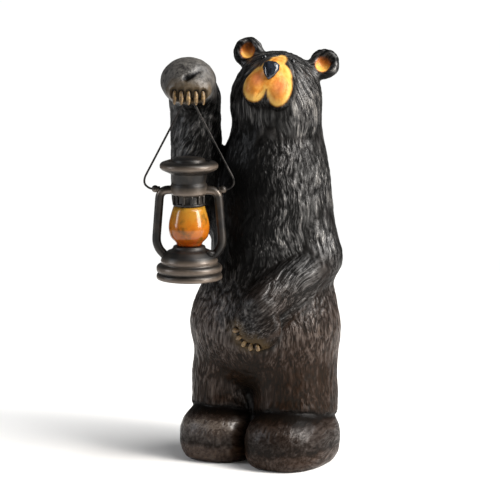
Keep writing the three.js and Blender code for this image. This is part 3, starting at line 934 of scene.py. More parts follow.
@dataclass
class Claws:
    """Ten claws, painted like horn: five at the raised paw's rim and five on the resting paw."""

    pose: Pose
    hook_length: float = 10.6
    hook_width: float = 3.3
    hook_fan: float = 12.0
    hook_turn: float = 6.0
    hook_lean: float = 10.0
    hook_sunk: float = 2.2
    hook_drop: float = 1.4
    below_paw: float = 3.5
    resting_length: float = 5.8
    resting_width: float = 3.2
    resting_fan: float = 22.0
    resting_middle: float = 238.0
    resting_ring: float = 14.5
    resting_sunk: float = 1.5
    paws: dict[str, list[Claw]] = field(default_factory=dict)

    def find(self, solid: bpy.types.Object) -> None:
        """Finds where the claws lie on the paws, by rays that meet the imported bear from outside.

        Args:
            solid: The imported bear.
        """
        tree = surface_of(solid)
        raised, resting = [], []
        for n in range(-2, 3):
            heading = math.radians(self.pose.heading + self.hook_turn + self.hook_fan * n)
            out = Vector((math.sin(heading), -math.cos(heading), -0.2)).normalized()
            inside = Vector(self.pose.raised_paw()) - Vector((0, 0, self.below_paw))
            met = tree.ray_cast((inside + 40 * out) * MM, -out)[0] / MM
            turn = Matrix.Rotation(heading, 4, "Z") @ Matrix.Rotation(math.radians(-self.hook_lean), 4, "X")
            place = met - out * self.hook_sunk - Vector((0, 0, self.hook_drop))
            raised.append(Claw(place, turn, self.hook_length, self.hook_width))
            around = math.radians(self.resting_middle + self.resting_fan * n)
            inside = Vector(self.pose.resting_paw)
            inside += self.resting_ring * Vector((math.cos(around), 0, math.sin(around)))
            met = tree.ray_cast((inside + Vector((0, -40, 0))) * MM, Vector((0, 1, 0)))[0] / MM
            turn = Matrix.Rotation(math.pi / 2 - around, 4, "Y")
            place = met + Vector((0, self.resting_sunk, 0))
            resting.append(Claw(place, turn, self.resting_length, self.resting_width))
        self.paws = {"raised_paw_claws": raised, "resting_paw_claws": resting}

    def away(self, points: np.ndarray) -> np.ndarray:
        """Measures how far points are from the nearest claw's middle line.

        Args:
            points: One row for each point, in millimetres.

        Returns:
            The distances in millimetres.
        """
        return np.min([claw.away(points) for claws in self.paws.values() for claw in claws], axis=0)

    def build(self) -> list[bpy.types.Object]:
        """Makes the claws, as one piece for each paw."""
        finish = OchrePaint("ochre_paint")
        return [
            object_of(name, joined([claw.shape() for claw in claws]), finish)
            for name, claws in self.paws.items()
        ]


@dataclass
class Bear:
    """The bear, one casting: its carved coat, bare feet and paw, muzzle and ears.

    Where an ease says how far a place holds, its first number is where the place ends and its second is
    where it holds in full, in millimetres, or as a share of an oval or a patch.
    """

    pose: Pose
    claws: Claws
    voxel: float = 1.3
    smoothing: int = 26
    softening: int = 60
    crease_depth: float = 2.2
    lock: float = 4.0
    lock_length: float = 18.0
    tuft: float = 2.4
    tuft_length: float = 9.0
    forearm_twist: float = 46.0
    twist_from: float = 190.0
    brow: Place = (0.06, -0.62, 0.78)
    depth: float = 1.15
    proud: float = 0.35
    claw_bed: float = 1.9
    muzzle_lobes: tuple[Oval, ...] = (
        Oval(-8.8, -2.0, 9.2, 12.7),
        Oval(8.5, -2.8, 8.4, 12.4),
        Oval(2.8, 5.4, 11.4, 11.4),
        Oval(2.7, 15.6, 4.9, 9.4),
    )
    blushes: tuple[Oval, Oval] = (Oval(-7.5, 1, 7, 8), Oval(9, -2, 7.5, 10))
    ears: tuple[Oval, Oval] = (Oval(29.4, 25.6, 5.5, 5.9), Oval(-26.4, 27.0, 5.5, 5.9))
    # Painted shade on the chest, and a painted highlight on the cheek
    chest: Patch = Patch((-10, -42, 192), (36, 36, 58), 0.5)
    cheek: Patch = Patch((25, -14, -8), (13, 20, 26), 0.4)
    # A foot is a rounded box about its middle, and a cuff of fur hangs over its edge
    foot_radii: Place = (29.7, 40.8, 24.9)
    foot_squareness: float = 2.5
    cuff_depth: float = 1.3
    dimple_depth: float = 1.9
    points: np.ndarray = field(init=False)
    normals: np.ndarray = field(init=False)
    level: np.ndarray = field(init=False)
    crease: np.ndarray = field(init=False)
    foot: np.ndarray = field(init=False)

    def build(self, solid: bpy.types.Object) -> bpy.types.Object:
        """Copies the solid with fine even facets, smooths it and carves the coat.

        Args:
            solid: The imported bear.

        Returns:
            The carved bear.
        """
        piece = self.refined(solid)
        self.smooth(piece)
        self.carve(piece)
        return piece

    def refined(self, solid: bpy.types.Object) -> bpy.types.Object:
        """Copies the solid with even facets of one voxel's size.

        Args:
            solid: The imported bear.

        Returns:
            The copy, with no modifier left on it.
        """
        rough = bpy.data.objects.new("bear_blank", solid.data.copy())
        bpy.context.scene.collection.objects.link(rough)
        remesh = rough.modifiers.new("even", "REMESH")
        remesh.mode = "VOXEL"
        remesh.voxel_size = self.voxel * MM
        graph = bpy.context.evaluated_depsgraph_get()
        mesh = bpy.data.meshes.new_from_object(rough.evaluated_get(graph))
        bpy.data.objects.remove(rough)
        mesh.name = "bear_coat"
        return linked("bear_coat", mesh, CarvedResin("carved_resin"))

    def smooth(self, piece: bpy.types.Object) -> None:
        """Rounds off the solid's facets without shrinking it, and finds its creases for the painted shade.

        Args:
            piece: The refined bear.
        """
        mesh = piece.data
        points = np.zeros(len(mesh.vertices) * 3)
        mesh.vertices.foreach_get("co", points)
        points = points.reshape(-1, 3) / MM
        edges = np.zeros(len(mesh.edges) * 2, np.int64)
        mesh.edges.foreach_get("vertices", edges)
        edges = edges.reshape(-1, 2)
        ends = np.r_[edges[:, 0], edges[:, 1]]
        others = np.r_[edges[:, 1], edges[:, 0]]
        # Each pull inwards is made good by a slightly stronger push back
        for pull in (0.5, -0.52) * self.smoothing:
            points += pull * (neighbours_mean(points, ends, others) - points)
        points[:, 2] = np.maximum(points[:, 2], 0.0)
        softened = points.copy()
        for _ in range(self.softening):
            softened += 0.6 * (neighbours_mean(softened, ends, others) - softened)
        mesh.vertices.foreach_set("co", (points * MM).ravel())
        mesh.update()
        normals = np.zeros(len(mesh.vertices) * 3)
        mesh.vertices.foreach_get("normal", normals)
        self.points = points
        self.normals = normals.reshape(-1, 3)
        self.level = self.pose.on_head(points)
        filled = np.einsum("ij,ij->i", softened - points, self.normals)
        self.crease = np.clip(filled / self.crease_depth, 0, 1)

    def regions(self) -> dict[Region, tuple[np.ndarray, np.ndarray]]:
        """Finds, for each region, how far it holds at each point and the strokes' own coordinates there.

        Returns:
            Weights and coordinates, across, across and along the strokes, by region.
        """
        p = self.points
        pose = self.pose
        found = {}
        start, end = (*pose.forearm, pose.forearm_from), (*pose.forearm, pose.forearm_to)
        away, _, _ = along_limb(p, start, end)
        raised = ease(29, 22, away) * ease(178, 196, p[:, 2]) * ease(-16, -22, p[:, 0])
        found[Region.RAISED_FOREARM] = (raised, self.helical())
        neck = p[:, 2] + 0.25 * p[:, 1] + 11 * Lattice(Seed.NECK).at(p / 13)
        head = ease(218, 248, neck) * (1 - raised) * ease(60, 50, np.linalg.norm(self.level, axis=1))
        found[Region.HEAD] = (head, self.radial())
        left = 1 - np.clip(raised + head, 0, 1)
        away, frame, share = along_limb(p, pose.elbow, pose.wrist)
        resting = left * ease(22, 16.5, away) * ease(-0.2, 0.4, share) * ease(4, -12, p[:, 1])
        found[Region.RESTING_FOREARM] = (resting, frame * [1, 1, 0.6])
        away, frame, _ = along_limb(p, pose.shoulder, pose.elbow)
        upper = left * (1 - resting) * ease(22, 16, away) * ease(14, 22, p[:, 0])
        left = left * (1 - self.foot)
        found[Region.FEET] = (self.foot, p[:, [0, 2, 1]])
        found[Region.UPPER_ARM] = (upper, frame)
        found[Region.TRUNK] = (left * (1 - resting) * (1 - upper), p.copy())
        return found

    def helical(self) -> np.ndarray:
        """Gives the coordinates of strokes that wind up the raised forearm."""
        p = self.points
        turn = (p[:, 2] - self.twist_from) / self.forearm_twist
        x, y = p[:, 0] - self.pose.forearm[0], p[:, 1] - self.pose.forearm[1]
        across = [x * np.cos(turn) + y * np.sin(turn), y * np.cos(turn) - x * np.sin(turn)]
        return np.stack([*across, p[:, 2]], axis=1)

    def radial(self) -> np.ndarray:
        """Gives the coordinates of strokes that run out from the brow over the head."""
        crown = np.array(self.brow) / np.linalg.norm(self.brow)
        side = np.cross(crown, [1.0, 0.0, 0.0])
        side /= np.linalg.norm(side)
        beyond = np.cross(crown, side)
        ring = np.arccos(np.clip(self.level @ crown / np.linalg.norm(self.level, axis=1), -1, 1))
        one, other = self.level @ side, self.level @ beyond
        spread = np.maximum(np.hypot(one, other), 1e-6)
        # The head's strokes are spaced as on a ring of 30 mm, and run on by 20 mm for each radian
        return np.stack([30 * one / spread, 30 * other / spread, 20 * ring], axis=1)

    def swayed(self, coordinates: np.ndarray, seed: int) -> np.ndarray:
        """Bends the strokes' coordinates, as a carver's hand does.

        Args:
            coordinates: Across, across and along the strokes, in millimetres.
            seed: The number that the bends are drawn from.

        Returns:
            The bent coordinates.
        """
        p = self.points
        # Slow bends of 5 mm over 32 mm, quick ones of 0.9 mm over 12 mm, and shifts of 6 mm along them
        sway = np.stack([Lattice(seed + n).at(p / 32) for n in (1, 2)], axis=1) * 5
        sway += np.stack([Lattice(seed + n).at(p / 12) for n in (3, 4)], axis=1) * 0.9
        along = coordinates[:, 2:] + 6 * Lattice(seed + 5).at(p / 15)[:, None]
        return np.hstack([coordinates[:, :2] + sway, along])

    def strokes(self, coordinates: np.ndarray, seed: int) -> np.ndarray:
        """Carves long locks and finer tufts between V-shaped grooves.

        Args:
            coordinates: Across, across and along the strokes, in millimetres.
            seed: The number that their layout is drawn from.

        Returns:
            A height from about 0 in the grooves to 1 on the locks.
        """
        across, along = coordinates[:, :2], coordinates[:, 2:]
        locks = Lattice(seed + 6).at(np.hstack([across / self.lock, along / self.lock_length]))
        tufts = Lattice(seed + 7).at(np.hstack([across / self.tuft, along / self.tuft_length]))
        coarse, finer = (np.clip(np.sqrt(np.abs(drawn) * 1.5), 0, 1.1) for drawn in (locks, tufts))
        return np.clip(0.6 * coarse + 0.4 * finer, 0, 1)

    def carved(self) -> tuple[np.ndarray, np.ndarray, np.ndarray]:
        """Lays each region's strokes and keeps the coordinates of the one that holds most.

        Returns:
            The strokes' relief, the coordinates along them and how far their region holds.
        """
        relief = np.zeros(len(self.points))
        flow = np.zeros((len(self.points), 3))
        best = np.full(len(self.points), -1.0)
        for order, (weight, coordinates) in enumerate(self.regions().values()):
            seed = 20 * order + 3
            coordinates = self.swayed(coordinates, seed)
            relief += weight * self.strokes(coordinates, seed)
            nearer = weight > best
            flow[nearer] = coordinates[nearer]
            best[nearer] = weight[nearer]
        return relief, flow, best

    def muzzle_paint(self) -> tuple[np.ndarray, np.ndarray, np.ndarray]:
        """Lays out the painted muzzle: two lobes, the part above them and the bridge.

        Returns:
            How far the amber, the blush over it and the pale rim hold at each point.
        """
        spread = np.min([lobe.away(self.level) for lobe in self.muzzle_lobes], axis=0)
        ragged = spread + 0.012 * Lattice(Seed.MUZZLE_EDGE).at(self.points / 2.5)
        amber = ease(1.05, 0.95, ragged) * ease(-14, -20, self.level[:, 1])
        right, left = (ease(1.0, 0.1, blush.away(self.level)) for blush in self.blushes)
        pale = ease(0.6, 0.98, spread + 0.16 * Lattice(Seed.MUZZLE_RIM).at(self.points / 4)) * amber
        return amber, 0.7 * np.maximum(right, 0.85 * left), pale

    def ear_paint(self) -> np.ndarray:
        """Finds the painted hollows of the ears."""
        nearest = np.min([ear.away(self.level) for ear in self.ears], axis=0)
        return ease(1.14, 0.9, nearest) * ease(1.5, 0.0, self.level[:, 1])

    def carve(self, piece: bpy.types.Object) -> None:
        """Moves the points by the coat's relief and stores what the paint follows.

        Args:
            piece: The smooth bear.
        """
        p = self.points
        amber, blush, pale = self.muzzle_paint()
        ears = self.ear_paint()
        self.foot, cuff = self.lower_places()
        paw, dimple = self.upper_places()
        relief, flow, best = self.carved()
        claws = self.claws.away(p)
        # The fur lies flatter low down, and thins out round the muzzle, on the bare places and at the claws
        low = ease(104, 62, p[:, 2] + 8 * Lattice(Seed.LOWER_BODY).at(p / 25)) * (1 - self.foot)
        snout = ease(8, 0, np.linalg.norm(self.level - [0, -34, 2], axis=1) - 17)
        furred = (1 - 0.72 * self.foot) * (1 - 0.9 * paw) * (1 - np.minimum(amber + snout, 1))
        furred *= (1 - ears) * (1 - 0.35 * low) * ease(3.5, 7.0, claws)
        height = self.depth * furred * (relief - 0.62) + self.proud * (1 - amber) + cuff - dimple
        height -= self.claw_bed * ease(3.1, 1.9, claws)
        height *= ease(0, 3, p[:, 2])
        places = p + self.normals * height[:, None]
        places[:, 2] = np.where(p[:, 2] < 0.01, 0.0, places[:, 2])
        piece.data.vertices.foreach_set("co", (places * MM).ravel())
        piece.data.update()
        height_up = p[:, 2] + 1.6 * Lattice(Seed.SOLE).at(p / 9)
        sole = ease(15.5, 9.5, height_up) * self.foot
        shade = self.shade(relief, low, height_up, sole)
        # The paw's back is painted a lighter grey, with painted shade in the dimple
        shade = shade * (1 - 0.7 * paw) + (0.76 - 0.6 * ease(0.5, 1.8, dimple)) * paw
        # Painted shade in a ring round each claw, where it is set into the paw
        shade *= 1 - 0.85 * ease(4.2, 2.6, claws)
        # Painted shade on the top of the feet where the cuff hangs over them
        under_cuff_shade = ease(-49, -37, p[:, 1]) * ease(28, 37, p[:, 2]) * self.foot
        shade *= 1 - 0.8 * under_cuff_shade
        # The warm brown rises from the feet, higher at the back than in front
        rise = p[:, 2] - 0.35 * p[:, 1] + 16 * Lattice(Seed.WARMTH).at(p / 30)
        warmth = ease(160, 90, rise) * (1 - 0.55 * (self.foot - sole))
        # The brush's strands show where one region's strokes hold clearly, and not on the bare places
        steady = ease(0.55, 0.85, best) * (1 - 0.65 * self.foot) * (1 - 0.8 * paw) * ease(3, 7, claws)
        steady *= 1 - 0.45 * low
        paint = {
            # The relief that the paint follows is the dry brush with its painted shade and highlights
            "relief": np.clip(shade, 0, 1),
            "wash": 0.62 * ease(12, 4, claws + 2 * Lattice(Seed.CLAW_WASH).at(p / 3)) * ease(2.4, 3.4, claws),
            "warmth": np.clip(warmth, 0, 1),
            "muzzle": amber,
            # On the ears the blush value makes the hollow lighter towards its bottom
            "blush": blush + ears * ease(33, 20, self.level[:, 2]),
            "pale": pale,
            "ear": ears,
            "bare": np.clip(1 - steady + amber + ears, 0, 1),
            "flow": flow,
            # Painted shade in the body's creases
            "crease": np.clip(1.5 * self.crease, 0, 1) * (1 - amber) * (1 - ears),
        }
        for name, values in paint.items():
            carry(piece, name, values)

    def shade(
        self, relief: np.ndarray, low: np.ndarray, height_up: np.ndarray, sole: np.ndarray
    ) -> np.ndarray:
        """Gives how much of the dry brush each point catches.

        Painted shade darkens the chest, the flank and what faces down, and a painted highlight lightens the
        cheek. The lower body is darker, partly by its own duller paint and partly by painted shade. The feet
        get the brush alike all over, with dry brush and a painted highlight where they turn upward, painted
        light on the far foot, and a dark line above the sole.

        Args:
            relief: The strokes' relief.
            low: How far a point is on the lower body.
            height_up: The height above the ground, with a wavering edge.
            sole: How far a point is on a foot's sole.

        Returns:
            0 where the black stays and 1 where the brush left most.
        """
        p, up = self.points, self.normals[:, 2]
        body = 1 - self.foot
        far = ease(8, -12, p[:, 0])
        upturned = np.exp(-(((up - 0.55) / 0.3) ** 2)) * ease(20, -5, p[:, 1])
        line = np.exp(-(((height_up - 14.6) / 2.4) ** 2)) * self.foot
        # The far foot is lighter by painted light, and the upturned band is dry brush with a painted
        # highlight
        foot_brush_and_light = 0.12 + 0.16 * far + (0.18 + 0.22 * far) * upturned
        shade = relief * (1 - 0.45 * self.foot) + foot_brush_and_light * self.foot
        shade += (0.04 * sole - 0.13 * line) * (1 + 0.6 * far)
        # Painted shade on the chest, the flank and, with its duller paint, the lower body, less on the far
        # side; a painted highlight on the cheek
        flank = ease(166, 148, p[:, 2]) * ease(86, 104, p[:, 2]) * ease(-4, 12, p[:, 0]) * body
        shade *= (
            1
            - 0.7 * self.chest.hold(p)
            - (0.48 - 0.2 * far) * low
            + 0.45 * self.cheek.hold(self.level)
            - 0.16 * flank
        )
        # Painted shade on what faces down
        return shade * (1 - 0.4 * ease(-0.05, -0.6, up) * body)

    def lower_places(self) -> tuple[np.ndarray, np.ndarray]:
        """Finds the feet, and the cuff of fur that overhangs them.

        Returns:
            How far a point is on a foot, and how far the cuff stands proud in millimetres.
        """
        p = self.points
        x, y, z = self.pose.feet
        shares = []
        for side in (-1, 1):
            offset = (p - [side * x, y - side * self.pose.left_foot_ahead, z]) / self.foot_radii
            power = np.sum(np.abs(offset) ** self.foot_squareness, axis=1)
            shares.append(power ** (1 / self.foot_squareness))
        ragged = np.minimum(*shares) + 0.04 * Lattice(Seed.CUFF).at(np.hstack([p[:, :2] / 4, p[:, 2:] / 16]))
        front = ease(34, 24, p[:, 1])
        foot = ease(1.085, 1.055, ragged) * front
        edge = ease(1.055, 1.085, ragged) * ease(1.36, 1.1, ragged)
        cuff = self.cuff_depth * edge * ease(70, 52, p[:, 2]) * front
        return foot, cuff * (1 - foot)

    def upper_places(self) -> tuple[np.ndarray, np.ndarray]:
        """Finds the raised paw's smooth back, and the dimple pressed into it.

        Returns:
            How far a point is on the paw's back, and the dimple's depth in millimetres.
        """
        p = self.points
        away = np.linalg.norm(p - self.pose.raised_paw(), axis=1)
        back = ease(31.0, 28.5, away) * ease(259, 265, p[:, 2] + 1.5 * Lattice(Seed.PAW).at(p / 5))
        # The dimple is a groove that rises and narrows along the paw's rim, over a slight swelling
        offset = p - self.pose.dimple
        across, up = 0.88 * offset[:, 0] + 0.47 * offset[:, 1], offset[:, 2]
        run = np.clip((across + 0.5 * up) / 10.5, -0.25, 1)
        groove = np.hypot(across - 8.4 * run, up - 4.2 * run) / (2.7 - 0.6 * run)
        below = np.hypot((across - 2.5) / 8.5, (up + 4.4 - 0.3 * across) / 2.6)
        near = ease(14, 8, offset[:, 1] - 0.5 * up)
        pressed = (self.dimple_depth - 1.35 * run) * ease(1.3, 0.1, groove) - 0.5 * ease(1.2, 0.2, below)
        return back, pressed * near


@dataclass
class Face:
    """The nose and the eyes, placed in the head's frame."""

    pose: Pose
    nose_half_width: float = 5.7
    nose_height: float = 13.4
    nose_place: Place = (0.4, -43.2, 8.4)
    nose_lean: float = 12.0
    nose_edge: float = 0.5
    eye_radius: float = 2.2
    eye_from_middle: float = 10.4
    eye_height: float = 21.0
    eye_sunk: float = 0.5

    def nose(self) -> bpy.types.Object:
        """Makes the nose, a faceted wedge that is wide at its top and pointed below."""
        # The left half's outline from the top, in half widths and heights, and each ring's size and y
        half = [(0.45, 0.5), (0.92, 0.38), (1, 0.12), (0.55, -0.28)]
        outline = [(0, -0.5), *((-x, z) for x, z in reversed(half)), *half]
        rings = [(1.0, 3.2), (1.08, 0.6), (0.98, -1.0), (0.7, -2.2), (0.3, -2.8)]
        width, height = self.nose_half_width, self.nose_height
        points = [
            (x * width * scale, y, (z * scale + 0.16 * (1 - scale)) * height)
            for scale, y in rings
            for x, z in outline
        ]
        count = len(outline)
        faces = []
        for ring in range(0, (len(rings) - 1) * count, count):
            for at in range(count):
                after = (at + 1) % count
                faces.append([ring + at, ring + after, ring + count + after, ring + count + at])
        faces.append([(len(rings) - 1) * count + at for at in range(count)])
        faces.append(list(range(count))[::-1])
        lean = Matrix.Rotation(math.radians(-self.nose_lean), 4, "X")
        placed = moved(np.array(points), self.pose.head_frame() @ Matrix.Translation(self.nose_place) @ lean)
        piece = object_of("nose", (placed, faces), GlossEnamel("gloss_enamel"))
        bevel = piece.modifiers.new("edges", "BEVEL")
        bevel.width = self.nose_edge * MM
        bevel.segments = 2
        return piece

    def eyes(self, solid: bpy.types.Object) -> bpy.types.Object:
        """Sets two small beads into the head.

        Args:
            solid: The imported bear.

        Returns:
            The eyes, as one piece.
        """
        tree = surface_of(solid)
        frame = self.pose.head_frame()
        parts = []
        for side in (-1, 1):
            x = side * self.eye_from_middle
            start = frame @ Vector((x, -80, self.eye_height)) * MM
            toward = (frame @ Vector((x, 0, self.eye_height)) * MM - start).normalized()
            met = tree.ray_cast(start, toward)[0] / MM + toward * self.eye_sunk
            points, faces = turned(egg(self.eye_radius, self.eye_radius, 10), 16)
            parts.append((points + np.array(met), faces))
        finish = GlossEnamel("eye_enamel", ((0.35, "#050506"), (0.75, "#101216")), gloss=0.06)
        return object_of("eyes", joined(parts), finish)


# The lantern


@dataclass
class Lantern:
    """The tubular lantern: its casting, its amber globe and its bail, all about its own axis."""

    place: Place
    heading: float = 24.0
    tank_radius: float = 23.5
    tank_height: float = 24.0
    burner_radius: float = 11.5
    globe_radius: float = 14.6
    globe_height: float = 28.0
    chimney_radius: float = 13.0
    chimney_height: float = 23.7
    hood_radius: float = 20.8
    hood_height: float = 11.6
    tube_radius: float = 3.1
    tube_foot: float = 14.0
    tube_into_tank: float = 9.0
    tube_into_chimney: float = 5.0
    spread_at_tank: float = 23.8
    spread_at_chimney: float = 20.6
    slots: int = 12
    slot_height: float = 6.6
    post_radius: float = 1.15
    cap_radius: float = 3.3
    cap_place: tuple[float, float] = (14.2, -5.8)
    cap_turn: float = 68.0
    cap_lean: float = 14.0
    lug_radius: float = 2.6
    lug_above_globe: float = 12.5
    wire_radius: float = 0.75
    bail_half_width: float = 31.8
    bail_top: float = 3.0
    bail_rise: float = 62.5
    clearance: float = 0.35
    wax_width: float = 1.6
    sides: int = 72

    @property
    def globe_top(self) -> float:
        """The height of the chimney's foot."""
        return self.tank_height + self.globe_height

    @property
    def lug_height(self) -> float:
        """The height of the lugs that hold the bail."""
        return self.globe_top + self.lug_above_globe

    @property
    def lug_out(self) -> float:
        """How far a lug's middle is from the axis."""
        return self.spread_at_chimney + self.tube_radius + 0.4

    def placed(self, points: np.ndarray) -> np.ndarray:
        """Carries points from the lantern's own axis to where it hangs.

        Args:
            points: One row for each point.

        Returns:
            The points in the scene, in millimetres.
        """
        turn = np.array(Matrix.Rotation(math.radians(self.heading), 3, "Z"))
        return points @ turn.T + np.array(self.place)

    def tank(self) -> Profile:
        """The tank: a rolled foot ring, a second ring, a domed shoulder and the burner's collar."""
        r, top = self.tank_radius, self.tank_height
        return rounded(
            [
                (0, 0),
                (r - 2.2, 0),
                (r - 0.2, 0.5),
                (r, 2.2),
                (r - 0.4, 4.0),
                (r - 1.9, 4.7),
                (r - 0.7, 5.4),
                (r - 0.1, 6.6),
                (r - 0.2, 9.2),
                (r - 1.2, 10.5),
                (r - 3.4, 11.0),
                (r - 3.5, 12.6),
                (r - 3.1, 13.4),
                (r - 4.4, 17.0),
                (r - 7.8, 20.2),
                (self.burner_radius + 1.2, top - 2.6),
                (self.burner_radius + 0.2, top - 1.6),
                (self.burner_radius - 0.2, top),
                (0, top),
            ],
            radius=0.8,
            steps=3,
        )

    def chimney(self) -> Profile:
        """The chimney: a flared foot, a slotted neck, a drum and the hood with its raised cap."""
        r, start = self.chimney_radius, self.globe_top + 2 * self.clearance
        under, rim, top = self.globe_top + self.chimney_height, self.hood_radius, self.hood_height
        return rounded(
            [
                (0, start),
                (r - 2.1, start),
                (r - 1.3, start + 0.8),
                (r - 1.4, start + 1.8),
                (r - 2.6, start + 2.4),
                (r - 2.6, start + 7.2),
                (r - 1.2, start + 7.8),
                (r - 0.1, start + 9.2),
                (r, start + 15.2),
                (r - 1.0, start + 16.6),
                (r - 0.9, start + 17.4),
                (r, under),
                (rim - 1.4, under + 2.8),
                (rim - 0.1, under + 4.2),
                (rim, under + 6.4),
                (rim - 1.2, under + 7.9),
                (rim - 5.2, under + 9.2),
                (rim - 6.1, under + 8.9),
                (rim - 6.6, under + 7.8),
                (rim - 8.4, under + 7.8),
                (rim - 9.0, under + 8.4),
                (rim - 9.4, under + 10.4),
                (rim - 11.6, under + top - 0.2),
                (0, under + top),
            ],
            radius=0.7,
            steps=3,
        )

    def posts(self) -> list[Shape]:
        """Makes the posts between the slots of the chimney's neck."""
        parts = []
        start = self.globe_top + 2 * self.clearance + 1.6
        radius = self.chimney_radius - 2.2
        for n in range(self.slots):
            angle = 2 * math.pi * (n + 0.5) / self.slots
            foot = np.array([radius * math.cos(angle), radius * math.sin(angle), start])
            path = foot + np.linspace(0, 1, 5)[:, None] * np.array([0, 0, self.slot_height])
            parts.append(swept(path, self.post_radius, 8))
        return parts

    def tubes(self) -> list[Shape]:
        """Makes the two air tubes and the lugs on their shoulders."""
        parts = []
        for side in (-1, 1):
            corners = [
                (side * (self.tank_radius - self.tube_into_tank), 0, self.tube_foot),
                (side * self.spread_at_tank, 0, self.tank_height - 0.5),
                (side * self.spread_at_chimney, 0, self.lug_height - 0.6),
                (side * (self.chimney_radius - self.tube_into_chimney), 0, self.lug_height - 0.6),
            ]
            path = smooth_path(corners, radius=7, spacing=1.2)
            parts.append(swept(path, self.tube_radius, 20))
            points, faces = turned(egg(self.lug_radius, self.lug_radius, 12), 20)
            parts.append((points + [side * self.lug_out, 0, self.lug_height], faces))
            stub = [(side * (self.lug_out - away), 0, self.lug_height) for away in (3.4, 0)]
            parts.append(swept(smooth_path(stub, radius=1, spacing=1), 1.9, 14))
        return parts

    def cap(self) -> Shape:
        """Makes the filler cap on the tank's shoulder."""
        r = self.cap_radius
        stem = [(0, 0), (r * 0.8, 0), (r * 0.8, 4.6)]
        knob = [(r, 4.9), (r, 7.0), (r * 0.82, 7.8), (r * 0.3, 8.0), (0, 8.0)]
        points, faces = turned(rounded(stem + knob, radius=0.35, steps=3), 24)
        turn = Matrix.Rotation(math.radians(self.cap_turn), 3, "Z")
        turn = turn @ Matrix.Rotation(math.radians(self.cap_lean), 3, "X")
        return points @ np.array(turn).T + [*self.cap_place, self.tank_height - 10], faces

    def casting(self) -> bpy.types.Object:
        """Builds the casting and marks its edges for the wax."""
        parts = [turned(self.tank(), self.sides), turned(self.chimney(), self.sides), self.cap()]
        points, faces = joined([*parts, *self.posts(), *self.tubes()])
        # The wax lies on the tank's three rings, on the hood's rim and round the chimney's drum
        hood_edge = self.globe_top + self.chimney_height + 5.4
        heights = np.array([1.5, 8.0, 13.2, hood_edge, self.globe_top + 10.5])
        edge = np.exp(-(((points[:, 2:] - heights) / self.wax_width) ** 2)).max(axis=1)
        finish = BronzedCasting("bronzed_casting")
        piece = object_of("lantern_body", (self.placed(points), faces), finish)
        carry(piece, "edge", edge * 0.6)
        return piece

    def globe(self) -> bpy.types.Object:
        """Builds the globe, a barrel that is fullest below its middle."""
        foot, top = self.tank_height + self.clearance, self.globe_top + self.clearance
        shares = [(0.6, 0), (0.66, 0.08), (0.92, 0.21), (1, 0.42), (0.98, 0.6), (0.87, 0.82), (0.76, 1)]
        corners = [(radius * self.globe_radius, foot + height * (top - foot)) for radius, height in shares]
        wall = rounded(corners, radius=5.0, steps=6)
        points, faces = turned([(0, foot), *wall, (0, top)], self.sides)
        piece = object_of("globe", (self.placed(points), faces), AmberResin("amber_resin"))
        carry(piece, "rise", (points[:, 2] - foot) / (top - foot))
        return piece

    def bail(self) -> bpy.types.Object:
        """Bends the bail from one length of wire, with an end in each lug."""
        end = self.lug_out - self.lug_radius * 0.2 + 0.4
        half = [
            (end, 0, self.lug_height),
            (end + self.lug_radius * 1.4, 0, self.lug_height),
            (self.bail_half_width, 0, self.lug_height + 3),
            (self.bail_half_width, 0, self.lug_height + 7.6),
            (self.bail_top, 0, self.lug_height + self.bail_rise),
        ]
        corners = half + [(-x, y, z) for x, y, z in reversed(half)]
        points, faces = swept(smooth_path(corners, radius=5, spacing=1.0), self.wire_radius, 10)
        return object_of("bail", (self.placed(points), faces), BlackenedWire("blackened_wire"))


# The studio


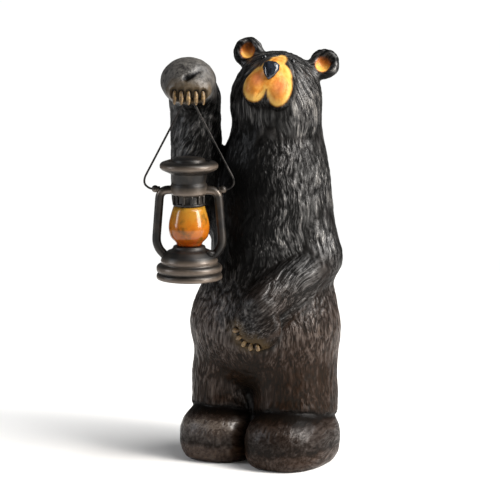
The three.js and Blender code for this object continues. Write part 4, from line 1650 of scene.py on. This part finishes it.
@dataclass
class Studio:
    """White paper, soft lamps and the camera, which looks from 28 degrees to the bear's left."""

    aim: Place = (-11.5, -6.1, 151.3)
    camera_at: Place = (863.0, -1623.0, 458.0)
    lens: float = 184.9
    sensor: float = 36.0
    figure_middle: float = 170.0
    # The overhead lamp in watts per square metre, the side lamps in watts, and what the room and the
    # backdrop behind the figure give as shares of a white sky
    overhead: float = 3.9
    overhead_spread: float = 60.0
    right: float = 22.0
    left: float = 5.0
    room: float = 0.14
    backdrop: float = 1.06
    paper_radius: float = 800.0

    def camera(self) -> None:
        """Sets up the camera."""
        data = bpy.data.cameras.new("camera")
        data.lens = self.lens
        data.sensor_width = self.sensor
        data.clip_end = 60.0
        made = bpy.data.objects.new("camera", data)
        made.location = Vector(self.camera_at) * MM
        toward = Vector(self.aim) * MM - made.location
        made.rotation_euler = toward.to_track_quat("-Z", "Y").to_euler()
        bpy.context.scene.collection.objects.link(made)
        bpy.context.scene.camera = made

    def lamp(self, name: str, place: Place, size: tuple[float, float], power: float, colour: str) -> None:
        """Hangs a soft lamp that points at the figure's middle.

        Args:
            name: The lamp's name.
            place: Where it is, in metres.
            size: Its width and height, in metres.
            power: Its power in watts.
            colour: The colour of its light.
        """
        data = bpy.data.lights.new(name, "AREA")
        data.shape = "RECTANGLE"
        data.size, data.size_y = size
        data.energy = power
        data.color = linear(colour)[:3]
        self.hang(data, place)

    def hang(self, data: bpy.types.Light, place: Place) -> None:
        """Puts a lamp in its place and turns it to the figure's middle.

        Args:
            data: The lamp.
            place: Where it is, in metres.
        """
        made = bpy.data.objects.new(data.name, data)
        made.location = place
        toward = Vector((0, 0, self.figure_middle * MM)) - made.location
        made.rotation_euler = toward.to_track_quat("-Z", "Y").to_euler()
        bpy.context.scene.collection.objects.link(made)

    def light(self) -> None:
        """Lights the figure from the upper right, with weaker lamps at the left and above, in a dim room."""
        sky = bpy.data.lights.new("overhead", "SUN")
        sky.energy = self.overhead
        sky.angle = math.radians(self.overhead_spread)
        self.hang(sky, (1.9, 0.5, 2.4))
        self.lamp("right", (1.0, -0.02, 0.6), (0.4, 1.0), self.right, "#fffaf4")
        self.lamp("left", (-0.85, -0.75, 0.5), (0.25, 0.8), self.left, "#f6f9ff")
        world = bpy.data.worlds.new("room")
        world.use_nodes = True
        tree = world.node_tree
        seen = add_node(tree, "ShaderNodeLightPath").outputs["Is Camera Ray"]
        strengths = {"To Min": self.room, "To Max": self.backdrop}
        strength = add_node(tree, "ShaderNodeMapRange", strengths, {"Value": seen})
        set_up(tree, tree.nodes["Background"], {"Color": linear("#fbfbfa")}, {"Strength": strength})
        bpy.context.scene.world = world
        bpy.context.scene.view_settings.view_transform = "Standard"

    def paper(self) -> bpy.types.Object:
        """Lays the paper, a wide round sheet."""
        sheet = turned([(0.0, 0.0), (self.paper_radius, 0.0)], 96)
        return object_of("paper", sheet, StudioPaper("studio_paper"))


def show(piece: bpy.types.Object, slot: str, *nodes: str) -> None:
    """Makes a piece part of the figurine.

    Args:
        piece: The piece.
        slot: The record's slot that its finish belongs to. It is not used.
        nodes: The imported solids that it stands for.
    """
    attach(piece, "root")
    if nodes:
        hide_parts(*nodes)
    log.info("%s: %d faces", piece.name, len(piece.data.polygons))


def main() -> None:
    """Builds the pieces in order."""
    logging.basicConfig(level=logging.INFO, format="%(message)s")
    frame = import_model()
    nodes = frame["nodes"]
    studio = Studio()
    studio.camera()
    studio.light()
    studio.paper()
    pose = Pose()
    claws = Claws(pose)
    claws.find(nodes["bear"])
    show(Bear(pose, claws).build(nodes["bear"]), "bear", "bear")
    for piece in claws.build():
        show(piece, "bear")
    face = Face(pose)
    show(face.nose(), "bear")
    show(face.eyes(nodes["bear"]), "bear")
    casting, globe = (np.array(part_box(node)) / MM for node in ("lantern_casting", "lantern_globe"))
    x, y, _ = globe.mean(axis=0)
    lantern = Lantern(place=(float(x), float(y), float(casting[0, 2])))
    show(lantern.casting(), "lantern_casting", "lantern_casting")
    show(lantern.globe(), "lantern_globe", "lantern_globe")
    show(lantern.bail(), "lantern_bail", "lantern_bail")


if __name__ == "__main__":
    main()
